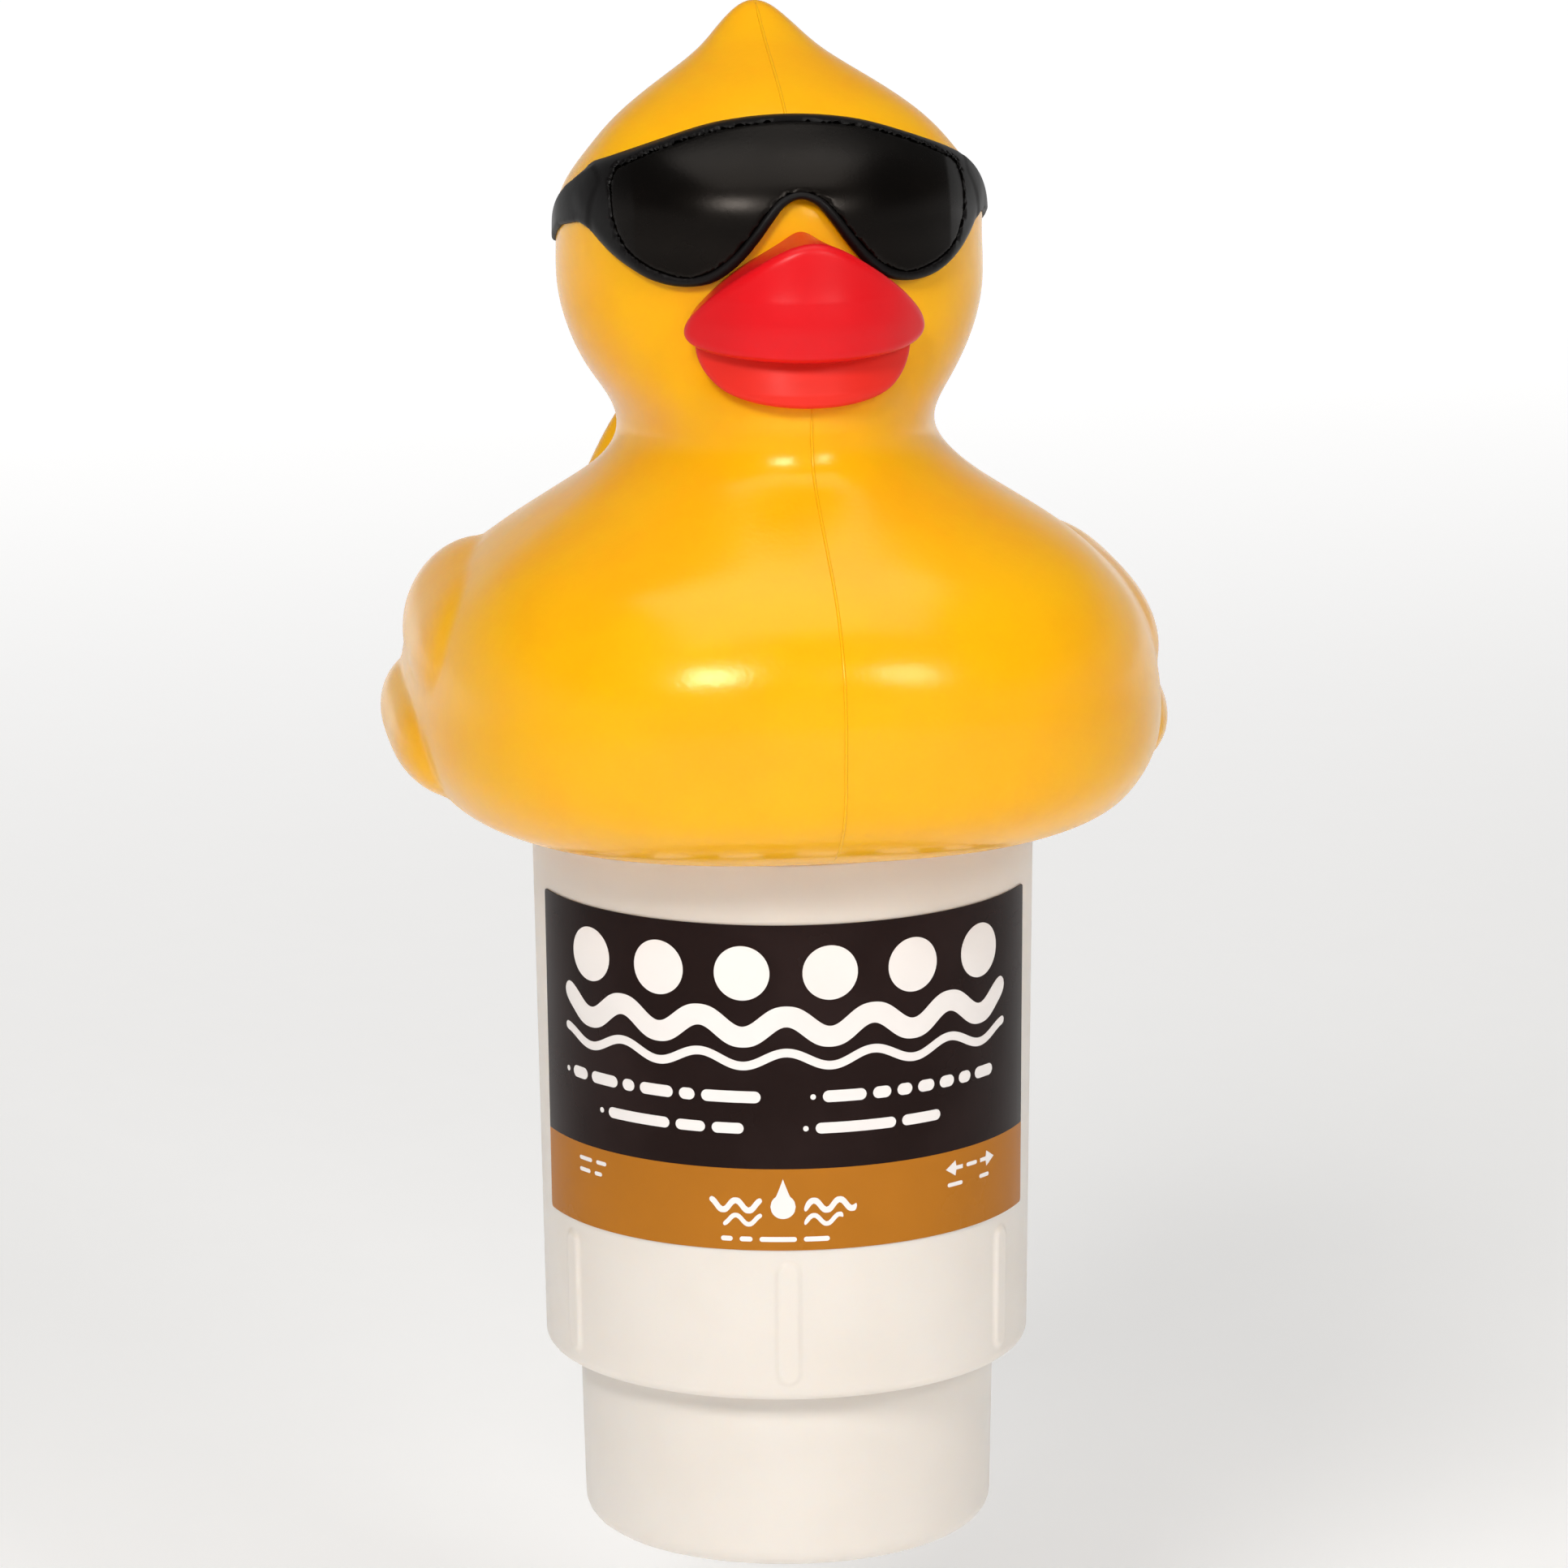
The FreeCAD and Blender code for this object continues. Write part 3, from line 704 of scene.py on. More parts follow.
DUCK_SKIN = Finish("duck_skin", (0.96, 0.47, 0.002), (0.95, 0.43, 0.002), 0.22, roughness_drift=0.03,
                   glow=0.2, glow_radius=(1.0, 0.45, 0.05), grain_size=1.6, grain_depth=0.03, wave_depth=0.06,
                   specular=0.45, sheen_colour=(1.0, 0.88, 0.55))
BILL_PAINT = Finish("bill_paint", (0.72, 0.004, 0.009), (0.67, 0.004, 0.008), 0.34, grain_size=0.8,
                    grain_depth=0.012, glow=0.1, glow_radius=(1.0, 0.1, 0.1), specular=0.24)
# Painted light: the lip has the bill's real red paint, made lighter and more orange for the light that the
# upturned lip catches.
LIT_LIP_RED = Finish("lip_red_painted_lit", (0.80, 0.028, 0.017), (0.76, 0.025, 0.015), 0.46, grain_size=0.8,
                   grain_depth=0.012, specular=0.2)
FRAME_BLACK = Finish("frame_black", (0.0025, 0.002, 0.002), (0.005, 0.004, 0.004), 0.42, grain_size=0.7,
                     grain_depth=0.012, specular=0.16)
SHIELD_BLACK = Finish("shield_black", (0.0016, 0.0013, 0.0011), (0.004, 0.003, 0.0024), 0.27, grain_size=0.9,
                      grain_depth=0.012, wave_size=14.0, wave_depth=0.05, specular=0.15,
                      sheen_colour=(1.0, 0.9, 0.82))
WHITE_PLASTIC = Finish("white_plastic", (0.81, 0.755, 0.695), (0.79, 0.73, 0.665), 0.38, glow=0.4,
                       glow_radius=(1.0, 0.8, 0.6), grain_size=1.4, grain_depth=0.012, wave_depth=0.03)
INNER_PLASTIC = Finish("inner_plastic", (0.83, 0.77, 0.69), (0.80, 0.74, 0.66), 0.42, glow=0.3,
                       glow_radius=(1.0, 0.8, 0.6), grain_size=1.4, grain_depth=0.012, wave_depth=0.03)
SOCKET_PLASTIC = Finish("socket_plastic", (0.82, 0.80, 0.77), (0.79, 0.77, 0.74), 0.4, grain_size=1.2,
                        grain_depth=0.012)
LABEL_FILM = BandedFilm("label_film", (0.012, 0.0045, 0.0035), (0.019, 0.009, 0.008), 0.24,
                        roughness_drift=0.04, grain_size=0.5, grain_depth=0.004, wave_size=9.0,
                        wave_depth=0.02, band_colour=(0.50, 0.18, 0.014), specular=0.09)
WHITE_INK = Finish("white_ink", (0.90, 0.86, 0.84), (0.86, 0.82, 0.80), 0.35, grain_size=0.4,
                   grain_depth=0.004)
SEAL_RUBBER = Finish("seal_rubber", (0.022, 0.021, 0.020), (0.035, 0.033, 0.031), 0.6, grain_size=0.5,
                     grain_depth=0.02)
BRIGHT_STEEL = Finish("bright_steel", (0.62, 0.61, 0.59), (0.56, 0.55, 0.53), 0.22, metallic=1.0,
                      grain_size=0.3, grain_depth=0.003)
PALE_FLOOR = Finish("pale_floor", (0.93, 0.93, 0.93), (0.92, 0.92, 0.92), 0.7, drift_size=400.0,
                    grain_size=3.0, grain_depth=0.01, specular=0.2)


class Paints:
    """Materials, each built once when a piece first asks for it."""

    def __init__(self) -> None:
        """Start with none built."""
        self._built: dict[str, bpy.types.Material] = {}

    def get(self, finish: Finish) -> bpy.types.Material:
        """Material of a finish.

        Args:
            finish: Finish to look up.

        Returns:
            Its material.
        """
        if finish.name not in self._built:
            self._built[finish.name] = finish.material()
        return self._built[finish.name]


# ---- the duck -----------------------------------------------------------------------------------
@dataclass(frozen=True)
class Duck:
    """Blow-moulded float: body, head, crest, tail and wings in one skin, with the well's mouth."""

    # height, half width, depth in front, depth behind, where it is widest, exponent of the outline
    rows: tuple = (
        (162.5, 65.0, 64.0, 74.0, 9.0, 2.5), (165.5, 71.8, 72.5, 82.5, 10.0, 2.5),
        (170.5, 77.2, 81.5, 91.5, 10.0, 2.5), (178.0, 80.8, 88.0, 97.5, 9.0, 2.5),
        (188.0, 81.8, 90.0, 100.0, 8.0, 2.5), (198.0, 80.2, 90.4, 98.5, 6.0, 2.5),
        (208.0, 76.3, 88.5, 93.0, -2.0, 2.4), (216.0, 69.9, 84.0, 84.0, -12.0, 2.3),
        (223.0, 62.5, 77.5, 74.0, -17.0, 2.2), (230.0, 52.0, 67.5, 64.0, -14.0, 2.1),
        (237.0, 41.3, 57.0, 55.0, -7.0, 2.0), (243.5, 35.1, 49.0, 50.0, 3.0, 2.0),
        (250.0, 35.0, 46.0, 49.0, 11.0, 2.0), (257.0, 39.4, 42.0, 52.0, 13.0, 2.0),
        (266.0, 44.0, 37.0, 56.0, 12.0, 2.0), (276.0, 46.4, 34.0, 58.5, 12.5, 2.0),
        (287.0, 46.4, 33.0, 59.0, 13.0, 2.0), (297.0, 45.2, 32.0, 57.0, 10.5, 2.0),
        (305.0, 40.0, 27.0, 53.0, 9.0, 2.0), (312.0, 33.5, 18.0, 46.5, 11.0, 2.0),
        (319.0, 23.5, 6.0, 41.5, 17.0, 2.0), (325.5, 13.2, -10.0, 38.5, 25.0, 2.0),
        (330.5, 7.7, -22.0, 37.5, 30.0, 2.0), (334.4, 3.2, -29.2, 35.6, 32.4, 2.0))
    top: float = 335.2
    tip_round: float = 2.5
    bottom_round: float = 1.8
    # place along the tail's sections, middle across them, half width, half thickness
    tail_rows: tuple = ((190.0, 79.0, 46.0, 25.0), (215.0, 69.0, 38.0, 17.0), (234.0, 64.6, 29.5, 11.5),
                        (249.4, 64.1, 20.0, 7.4), (258.0, 65.2, 11.0, 4.6), (262.0, 66.0, 5.0, 3.2))
    tail_pitch: float = 52.0
    tail_end: float = 261.8
    tail_ease: float = 0.9          # keeps the field's slope near one where the paddle thins
    tail_rounds: tuple = (3.0, 2.0)  # rounding at its end and at its root
    tail_fillet: float = 7.0
    chin: Ellipsoid = Ellipsoid((0.0, -27.0, 256.5), (20.0, 19.5, 10.5))
    chin_fillet: float = 5.0
    lobes: tuple = (
        Ellipsoid((65.5, 8.0, 201.5), (14.8, 40.0, 18.0), pitch=3.0, roll=-36.0, blunt=3.0),
        Ellipsoid((70.0, 13.0, 180.8), (16.0, 34.0, 13.6), pitch=3.0, blunt=3.0))
    crease: float = 0.5             # fillet where a lobe meets its neighbour
    mouth_r: float = 57.6
    mouth_top: float = 199.0
    # parting line: name, first and last place of each run, where the search starts, way in, reach
    seams: tuple = (("front", 166.0, 258.0, -110.0, (0.0, 1.0, 0.0), 100.0),
                    ("crown", -16.0, 31.0, 345.0, (0.0, 0.0, -1.0), 60.0),
                    ("nape", 240.0, 331.0, 80.0, (0.0, -1.0, 0.0), 75.0))
    seam_step: float = 1.5
    seam_r: float = 0.34
    net: SurfaceNet = SurfaceNet((-92.0, -96.0, 157.0), (92.0, 116.0, 341.0), 1.5)
    tables: dict = field(default_factory=dict, compare=False, repr=False)

    def _row_tables(self) -> tuple[np.ndarray, list[np.ndarray]]:
        """Smooth tables of the rows over the height.

        Returns:
            Heights, and one table for each column after the height.
        """
        if "rows" not in self.tables:
            rows = np.array(self.rows)
            heights = np.arange(rows[0, 0] - 14, rows[-1, 0] + 8, 0.1)
            columns = [natural_spline(rows[:, 0], rows[:, i], heights) for i in range(1, 6)]
            self.tables["rows"] = (heights, columns)
        return self.tables["rows"]

    def _section(self, points: np.ndarray) -> tuple[np.ndarray, np.ndarray]:
        """How far each point is out from the middle of its section.

        Args:
            points: Places to measure.

        Returns:
            Distance from the middle, and the same as a share of the way to the outline.
        """
        heights, columns = self._row_tables()
        half, front, back, widest, square = (np.interp(points[..., 2], heights, c) for c in columns)
        half = np.maximum(half, 0.3)
        y = points[..., 1] - widest
        reach = np.maximum(np.where(y < 0, front + widest, back - widest), 0.3)
        x = np.abs(points[..., 0])
        share = ((x / half) ** square + (np.abs(y) / reach) ** square) ** (1 / square)
        return np.hypot(x, y), np.maximum(share, 1e-6)

    def form(self, points: np.ndarray) -> np.ndarray:
        """Distance from the plain body and head.

        Args:
            points: Places to measure.

        Returns:
            Signed distances.
        """
        out, share = self._section(points)
        rise = np.array([0.0, 0.0, 0.5])
        above, above_share = self._section(points + rise)
        below, below_share = self._section(points - rise)
        slope = above / above_share - below / below_share
        side = (out - out / share) / np.sqrt(1 + slope ** 2)
        side = smooth_max(side, points[..., 2] - self.top, self.tip_round)
        return smooth_max(side, self.rows[0][0] - points[..., 2], self.bottom_round)

    def tail(self, points: np.ndarray) -> np.ndarray:
        """Distance from the tail's paddle.

        Args:
            points: Places to measure.

        Returns:
            Signed distances.
        """
        turn = math.radians(self.tail_pitch)
        along = points[..., 1] * math.cos(turn) + points[..., 2] * math.sin(turn)
        across = points[..., 2] * math.cos(turn) - points[..., 1] * math.sin(turn)
        rows = np.array(self.tail_rows)
        places = np.arange(rows[0, 0], rows[-1, 0] + 0.2, 0.2)
        middle, wide, thick = (np.interp(along, places, natural_spline(rows[:, 0], rows[:, i], places))
                               for i in (1, 2, 3))
        out = np.hypot(points[..., 0], across - middle)
        share = np.maximum(np.hypot(points[..., 0] / wide, (across - middle) / thick), 1e-6)
        side = (out - out / share) * self.tail_ease
        side = smooth_max(side, along - self.tail_end, self.tail_rounds[0])
        return smooth_max(side, rows[0, 0] - along, self.tail_rounds[1])

    def skin(self, points: np.ndarray) -> np.ndarray:
        """Distance from the whole outside.

        Args:
            points: Places to measure.

        Returns:
            Signed distances.
        """
        shape = smooth_min(self.form(points), self.tail(points), self.tail_fillet)
        shape = smooth_min(shape, self.chin.distance(points), self.chin_fillet)
        for lobe in self.lobes:
            both = np.minimum(lobe.distance(points), lobe.mirrored().distance(points))
            shape = smooth_min(shape, both, self.crease)
        return shape

    def hollowed(self, points: np.ndarray) -> np.ndarray:
        """Distance from the outside with the mouth for the base cut out.

        Args:
            points: Places to measure.

        Returns:
            Signed distances.
        """
        radius = np.hypot(points[..., 0], points[..., 1])
        mouth = np.maximum(radius - self.mouth_r, points[..., 2] - self.mouth_top)
        return np.maximum(self.skin(points), -mouth)

    def _rooted(self, starts: np.ndarray, way: np.ndarray, reach: float) -> np.ndarray:
        """First skin points met on the way in from outside.

        Args:
            starts: Places outside.
            way: Direction inwards.
            reach: How far to look.

        Returns:
            Points on the skin.
        """
        steps = np.arange(0, reach, 0.5)
        probes = starts[:, None, :] + steps[None, :, None] * way
        first = (self.skin(probes) < 0).argmax(axis=1)
        near = steps[np.maximum(first - 1, 0)]
        far = steps[first]
        for _ in range(20):
            middle = (near + far) / 2
            inside = self.skin(starts + middle[:, None] * way) < 0
            far = np.where(inside, middle, far)
            near = np.where(inside, near, middle)
        return starts + far[:, None] * way

    def parting_line(self, first: float, last: float, outside: float, way: tuple, reach: float) -> np.ndarray:
        """One run of the mould's parting line in the middle plane.

        Args:
            first: Place of its first point across the way in.
            last: Place where it ends.
            outside: Where the search starts along the way in.
            way: Direction inwards.
            reach: How far to look.

        Returns:
            Points on the skin.
        """
        along = np.arange(first, last, self.seam_step)
        away = np.full_like(along, outside)
        pair = (along, away) if way[2] else (away, along)
        return self._rooted(np.stack([np.zeros_like(along), *pair], 1), np.array(way), reach)

    def build(self, paints: Paints) -> None:
        """Build the skin and its parting line.

        Args:
            paints: Source of the materials.
        """
        points, faces = self.net.surface(self.hollowed)
        skin = make_piece("duck_skin", points, faces, paints.get(DUCK_SKIN), smooth_angle=70.0)
        settle(skin, Body.FLOAT, Slot.DUCK, "duck_shell")
        for name, *run in self.seams:
            points, faces = tube_mesh(self.parting_line(*run), self.seam_r)
            bead = make_piece("duck_parting_line_" + name, points, faces, paints.get(DUCK_SKIN), 180.0)
            settle(bead, Body.FLOAT, Slot.DUCK)


# ---- bill and sunglasses ------------------------------------------------------------------------
@dataclass(frozen=True)
class Bill:
    """Blunt pouting bill: an upper part with a roof to the face, and a hollowed lower lip."""

    duck: Duck
    upper_half: tuple = ((0.0, 293.1), (4.0, 292.4), (8.3, 290.5), (12.5, 288.0), (16.5, 285.4),
                         (20.6, 282.6), (25.0, 279.2), (28.6, 275.8), (29.8, 272.8), (27.6, 270.6),
                         (21.5, 269.2), (12.0, 268.5), (0.0, 268.1))
    lower_half: tuple = ((0.0, 271.0), (12.0, 271.2), (25.4, 271.6), (26.6, 269.0), (24.6, 265.0),
                         (20.6, 261.8), (15.5, 259.8), (8.0, 258.5), (0.0, 258.1))
    upper_depth: float = 54.2
    lower_depth: float = 51.6
    edge: float = 2.0
    lip_edge: float = 1.6
    narrowing: float = 0.012        # share of the width lost for each millimetre towards the face
    narrow_from: tuple = (-50.0, -48.0)         # where it starts on the upper bill and on the lip
    pinch: tuple = (0.045, 294.0, 4.5)          # further narrowing of the roof, its height and spread
    swell: tuple = (0.8, 276.0, 5.0)            # bulge over the mouth, its height and spread
    roof_slope: tuple = (0.16, 281.0)           # how fast the roof runs back, and from what height
    sweep: tuple = ((21.0, 28.8), (17.0, 25.0))  # how far the sides run back at what half width
    sweep_power: float = 2.2
    dish: tuple = (0.45, 261.0, 23.0)           # slope of the lip's hollow, its lowest height, half width
    ease: float = 0.85              # keeps the field's slope near one where the sides run back
    net: SurfaceNet = SurfaceNet((-30.0, -60.0, 255.0), (30.0, -18.0, 301.0), 0.55)

    def upper(self, points: np.ndarray, outline: Outline) -> np.ndarray:
        """Distance from the upper bill.

        Args:
            points: Places to measure.
            outline: Its front outline.

        Returns:
            Signed distances.
        """
        x, y, z = points[..., 0], points[..., 1], points[..., 2]
        bulge, pinch = (size * np.exp(-((z - height) / spread) ** 2) for size, height, spread in
                        (self.swell, self.pinch))
        behind = np.maximum(y - self.narrow_from[0], 0.0)
        front = outline.distance(x * (1 + behind * (self.narrowing + pinch)), z)
        back, half = self.sweep[0]
        slope, start = self.roof_slope
        depth = self.upper_depth - back * (np.abs(x) / half) ** self.sweep_power
        depth = depth - slope * np.maximum(z - start, 0) + bulge
        return smooth_max(front, -y - depth, self.edge) * self.ease

    def lower(self, points: np.ndarray, outline: Outline) -> np.ndarray:
        """Distance from the lower lip.

        Args:
            points: Places to measure.
            outline: Its front outline.

        Returns:
            Signed distances.
        """
        x, y, z = points[..., 0], points[..., 1], points[..., 2]
        front = outline.distance(x * (1 + self.narrowing * np.maximum(y - self.narrow_from[1], 0.0)), z)
        slope, low, wide = self.dish
        back, half = self.sweep[1]
        dish = slope * np.maximum(z - low, 0.0) * np.exp(-(x / wide) ** 4)
        depth = self.lower_depth - back * (np.abs(x) / half) ** self.sweep_power - dish
        return smooth_max(front, -y - depth, self.lip_edge) * self.ease

    def build(self, paints: Paints) -> None:
        """Build both halves of the bill.

        Args:
            paints: Source of the materials.
        """
        # The lower lip gets a lighter copy of the bill's red: painted light on its upturned face.
        for name, half, shape, finish, nodes in (
                ("bill_upper", self.upper_half, self.upper, BILL_PAINT, ("beak",)),
                ("bill_lower", self.lower_half, self.lower, LIT_LIP_RED, ())):
            outline = Outline(half, mirror=True)

            def solid(points: np.ndarray, shape: Callable = shape, outline: Outline = outline) -> np.ndarray:
                """Bill from just under the face's skin outwards."""
                return np.maximum(shape(points, outline), -self.duck.form(points) - 1.5)

            points, faces = self.net.surface(solid)
            piece = make_piece(name, points, faces, paints.get(finish), smooth_angle=60.0)
            settle(piece, Body.FLOAT, Slot.BEAK, *nodes)


@dataclass(frozen=True)
class Sunglasses:
    """Wrap-round frame with temples, and the one-piece shield in it."""

    duck: Duck
    frame_half: tuple = ((0.0, 315.7), (8.0, 315.3), (17.0, 313.8), (27.0, 310.6), (36.0, 306.8),
                         (41.5, 303.2), (43.8, 298.2), (42.6, 292.6), (38.6, 287.4), (34.0, 284.0),
                         (29.5, 282.0), (24.0, 281.4), (18.5, 282.6), (13.5, 286.2), (9.5, 290.8),
                         (6.0, 295.6), (3.2, 298.8), (0.0, 300.0))
    lens_half: tuple = ((0.0, 314.5), (8.0, 314.1), (17.0, 312.6), (27.0, 309.4), (34.5, 306.0),
                        (37.2, 303.6), (38.2, 299.0), (37.6, 293.2), (35.4, 288.4), (32.0, 285.6),
                        (28.0, 284.0), (24.0, 283.4), (19.6, 284.6), (15.0, 288.0), (11.0, 292.6),
                        (7.5, 297.2), (4.4, 300.3), (0.0, 301.7))
    proud: float = 3.2
    lens_proud: float = 2.8
    side_proud: float = 1.3         # how far frame and temples stand off the head at its sides
    thinning: tuple = (34.0, 9.0)   # distance from the middle where they thin, and over what width
    arm_y: tuple = (-14.0, -4.0, 6.0, 14.0, 20.0)
    arm_z: tuple = (299.0, 298.6, 295.0, 290.5, 286.5)
    arm_half: tuple = (7.5, 6.2, 4.6, 3.2, 2.0)
    arm_start: float = -9.0
    arm_inner: float = 41.0         # distance from the middle where the temples begin
    sunk: float = 0.8               # how far every layer reaches into the head
    net: SurfaceNet = SurfaceNet((-54.0, -42.0, 276.0), (54.0, 24.0, 320.0), 0.65)

    def _cover(self, points: np.ndarray, proud: float | np.ndarray) -> np.ndarray:
        """Distance from a layer that lies on the head.

        Args:
            points: Places to measure.
            proud: How far the layer stands off the head.

        Returns:
            Signed distances.
        """
        middle = (proud - self.sunk) / 2
        return np.abs(self.duck.form(points) - middle) - (proud + self.sunk) / 2

    def _thinned(self, x: np.ndarray, proud: float) -> np.ndarray:
        """How far a layer stands off the head. Frame and shield come in alike at the head's sides.

        Args:
            x: Places across.
            proud: How far it stands off in the middle.

        Returns:
            One height a place.
        """
        start, width = self.thinning
        turned = np.clip((np.abs(x) - start) / width, 0.0, 1.0)
        return proud - (self.proud - self.side_proud) * turned

    def rim(self, points: np.ndarray, frame_line: Outline, lens_line: Outline) -> np.ndarray:
        """Distance from the frame and its temples.

        Args:
            points: Places to measure.
            frame_line: Outline of the frame.
            lens_line: Outline of the shield.

        Returns:
            Signed distances.
        """
        x, y, z = points[..., 0], points[..., 1], points[..., 2]
        front = smooth_max(self._cover(points, self._thinned(x, self.proud)), frame_line.distance(x, z), 1.6)
        front = np.maximum(front, y - 2.0)
        front = smooth_max(front, 0.03 - lens_line.distance(x, z) - np.maximum(y + 2.0, 0) * 3, 0.35)
        band = np.abs(z - np.interp(y, self.arm_y, self.arm_z)) - np.interp(y, self.arm_y, self.arm_half)
        arm = smooth_max(self._cover(points, self.side_proud - 0.02 * np.maximum(y, 0)), band, 1.2)
        arm = smooth_max(smooth_max(arm, y - self.arm_y[-1], 1.5), self.arm_start - y, 1.0)
        arm = np.maximum(arm, self.arm_inner - np.abs(x))
        return smooth_min(front, arm, 1.5)

    def shield(self, points: np.ndarray, lens_line: Outline) -> np.ndarray:
        """Distance from the shield.

        Args:
            points: Places to measure.
            lens_line: Outline of the shield.

        Returns:
            Signed distances.
        """
        inside = lens_line.distance(points[..., 0], points[..., 2])
        proud = self._thinned(points[..., 0], self.lens_proud)
        return np.maximum(smooth_max(self._cover(points, proud), inside, 0.35), points[..., 1] + 1.0)

    def build(self, paints: Paints) -> None:
        """Build the frame and the shield.

        Args:
            paints: Source of the materials.
        """
        frame_line = Outline(self.frame_half, mirror=True)
        lens_line = Outline(self.lens_half, mirror=True)
        for name, shape, finish, slot, node in (
                ("sunglasses_rim", lambda p: self.rim(p, frame_line, lens_line), FRAME_BLACK, Slot.GLASSES,
                 "sunglasses_frame"),
                ("sunglasses_shield", lambda p: self.shield(p, lens_line), SHIELD_BLACK, Slot.LENS,
                 "sunglasses_lens")):
            points, faces = self.net.surface(shape)
            piece = make_piece(name, points, faces, paints.get(finish), smooth_angle=60.0)
            settle(piece, Body.FLOAT, slot, node)


# ---- turned walls -------------------------------------------------------------------------------
def rounded_path(corners: Sequence[tuple[float, float, float]],
                 step: float = 6.0) -> list[tuple[float, float]]:
    """Closed outline with its corners rounded and its long runs divided.

    Args:
        corners: Radius, height and corner radius of each corner in order.
        step: Longest run between points.

    Returns:
        Points of the outline as (radius, height).
    """
    path: list[tuple[float, float]] = []
    count = len(corners)
    for i, (r, z, bend) in enumerate(corners):
        here = np.array([r, z])
        before = np.array(corners[i - 1][:2]) - here
        after = np.array(corners[(i + 1) % count][:2]) - here
        before /= np.linalg.norm(before)
        after /= np.linalg.norm(after)
        half = math.acos(max(-1.0, min(1.0, float(before @ after)))) / 2
        if bend <= 0 or half > 1.5:
            path.append((r, z))
            continue
        reach = bend / math.tan(half)
        centre = here + (before + after) / np.linalg.norm(before + after) * bend / math.sin(half)
        start, end = here + before * reach - centre, here + after * reach - centre
        parts = 6 if bend > 1 else 3
        for k in range(parts + 1):
            spoke = start * (1 - k / parts) + end * (k / parts)
            spoke *= bend / np.linalg.norm(spoke)
            path.append(tuple(centre + spoke))
    dense: list[tuple[float, float]] = []
    for here, there in zip(path, path[1:] + path[:1]):
        run = math.hypot(there[0] - here[0], there[1] - here[1])
        parts = max(1, math.ceil(run / step))
        dense += [(here[0] + (there[0] - here[0]) * k / parts, here[1] + (there[1] - here[1]) * k / parts)
                  for k in range(parts)]
    return dense


class WallTree:
    """Geometry tree that takes a wall in and gives it back changed, in one finish."""

    name: str = "wall"
    inputs: tuple = ()              # name, kind and first value of each input

    def __init__(self) -> None:
        self.tree = bpy.data.node_groups.new(self.name, "GeometryNodeTree")
        for name, kind, default in (("Wall", "Geometry", None), *self.inputs, ("Finish", "Material", None)):
            socket = self.tree.interface.new_socket(name, in_out="INPUT", socket_type="NodeSocket" + kind)
            if default is not None:
                socket.default_value = default
        self.tree.interface.new_socket("Wall", in_out="OUTPUT", socket_type="NodeSocketGeometry")
        graph = Graph(self.tree)
        given = graph.add("NodeGroupInput").outputs
        real = graph.add("GeometryNodeRealizeInstances", {0: self._changed(graph, given)}).outputs[0]
        done = graph.add("GeometryNodeSetMaterial", {0: real, "Material": given["Finish"]}).outputs[0]
        graph.add("NodeGroupOutput", {0: done})

    def _changed(self, graph: Graph, given: bpy.types.bpy_prop_collection) -> bpy.types.NodeSocket:
        """Add the nodes that change the wall.

        Args:
            graph: Tree to fill.
            given: Sockets of the inputs, by name.

        Returns:
            Socket with the changed wall.
        """
        return given["Wall"]

    def run(self, piece: bpy.types.Object, values: dict[str, object]) -> None:
        """Run the tree on a piece and keep the result as its plain mesh.

        Args:
            piece: Object to work on.
            values: Values of the inputs by name.
        """
        modifier = piece.modifiers.new(self.name, "NODES")
        modifier.node_group = self.tree
        for item in self.tree.interface.items_tree:
            if item.item_type == "SOCKET" and item.in_out == "INPUT" and item.name in values:
                modifier[item.identifier] = values[item.name]
        bpy.context.view_layer.update()
        graph = bpy.context.evaluated_depsgraph_get()
        mesh = bpy.data.meshes.new_from_object(piece.evaluated_get(graph), depsgraph=graph)
        piece.modifiers.remove(modifier)
        old = piece.data
        piece.data = mesh
        bpy.data.meshes.remove(old)


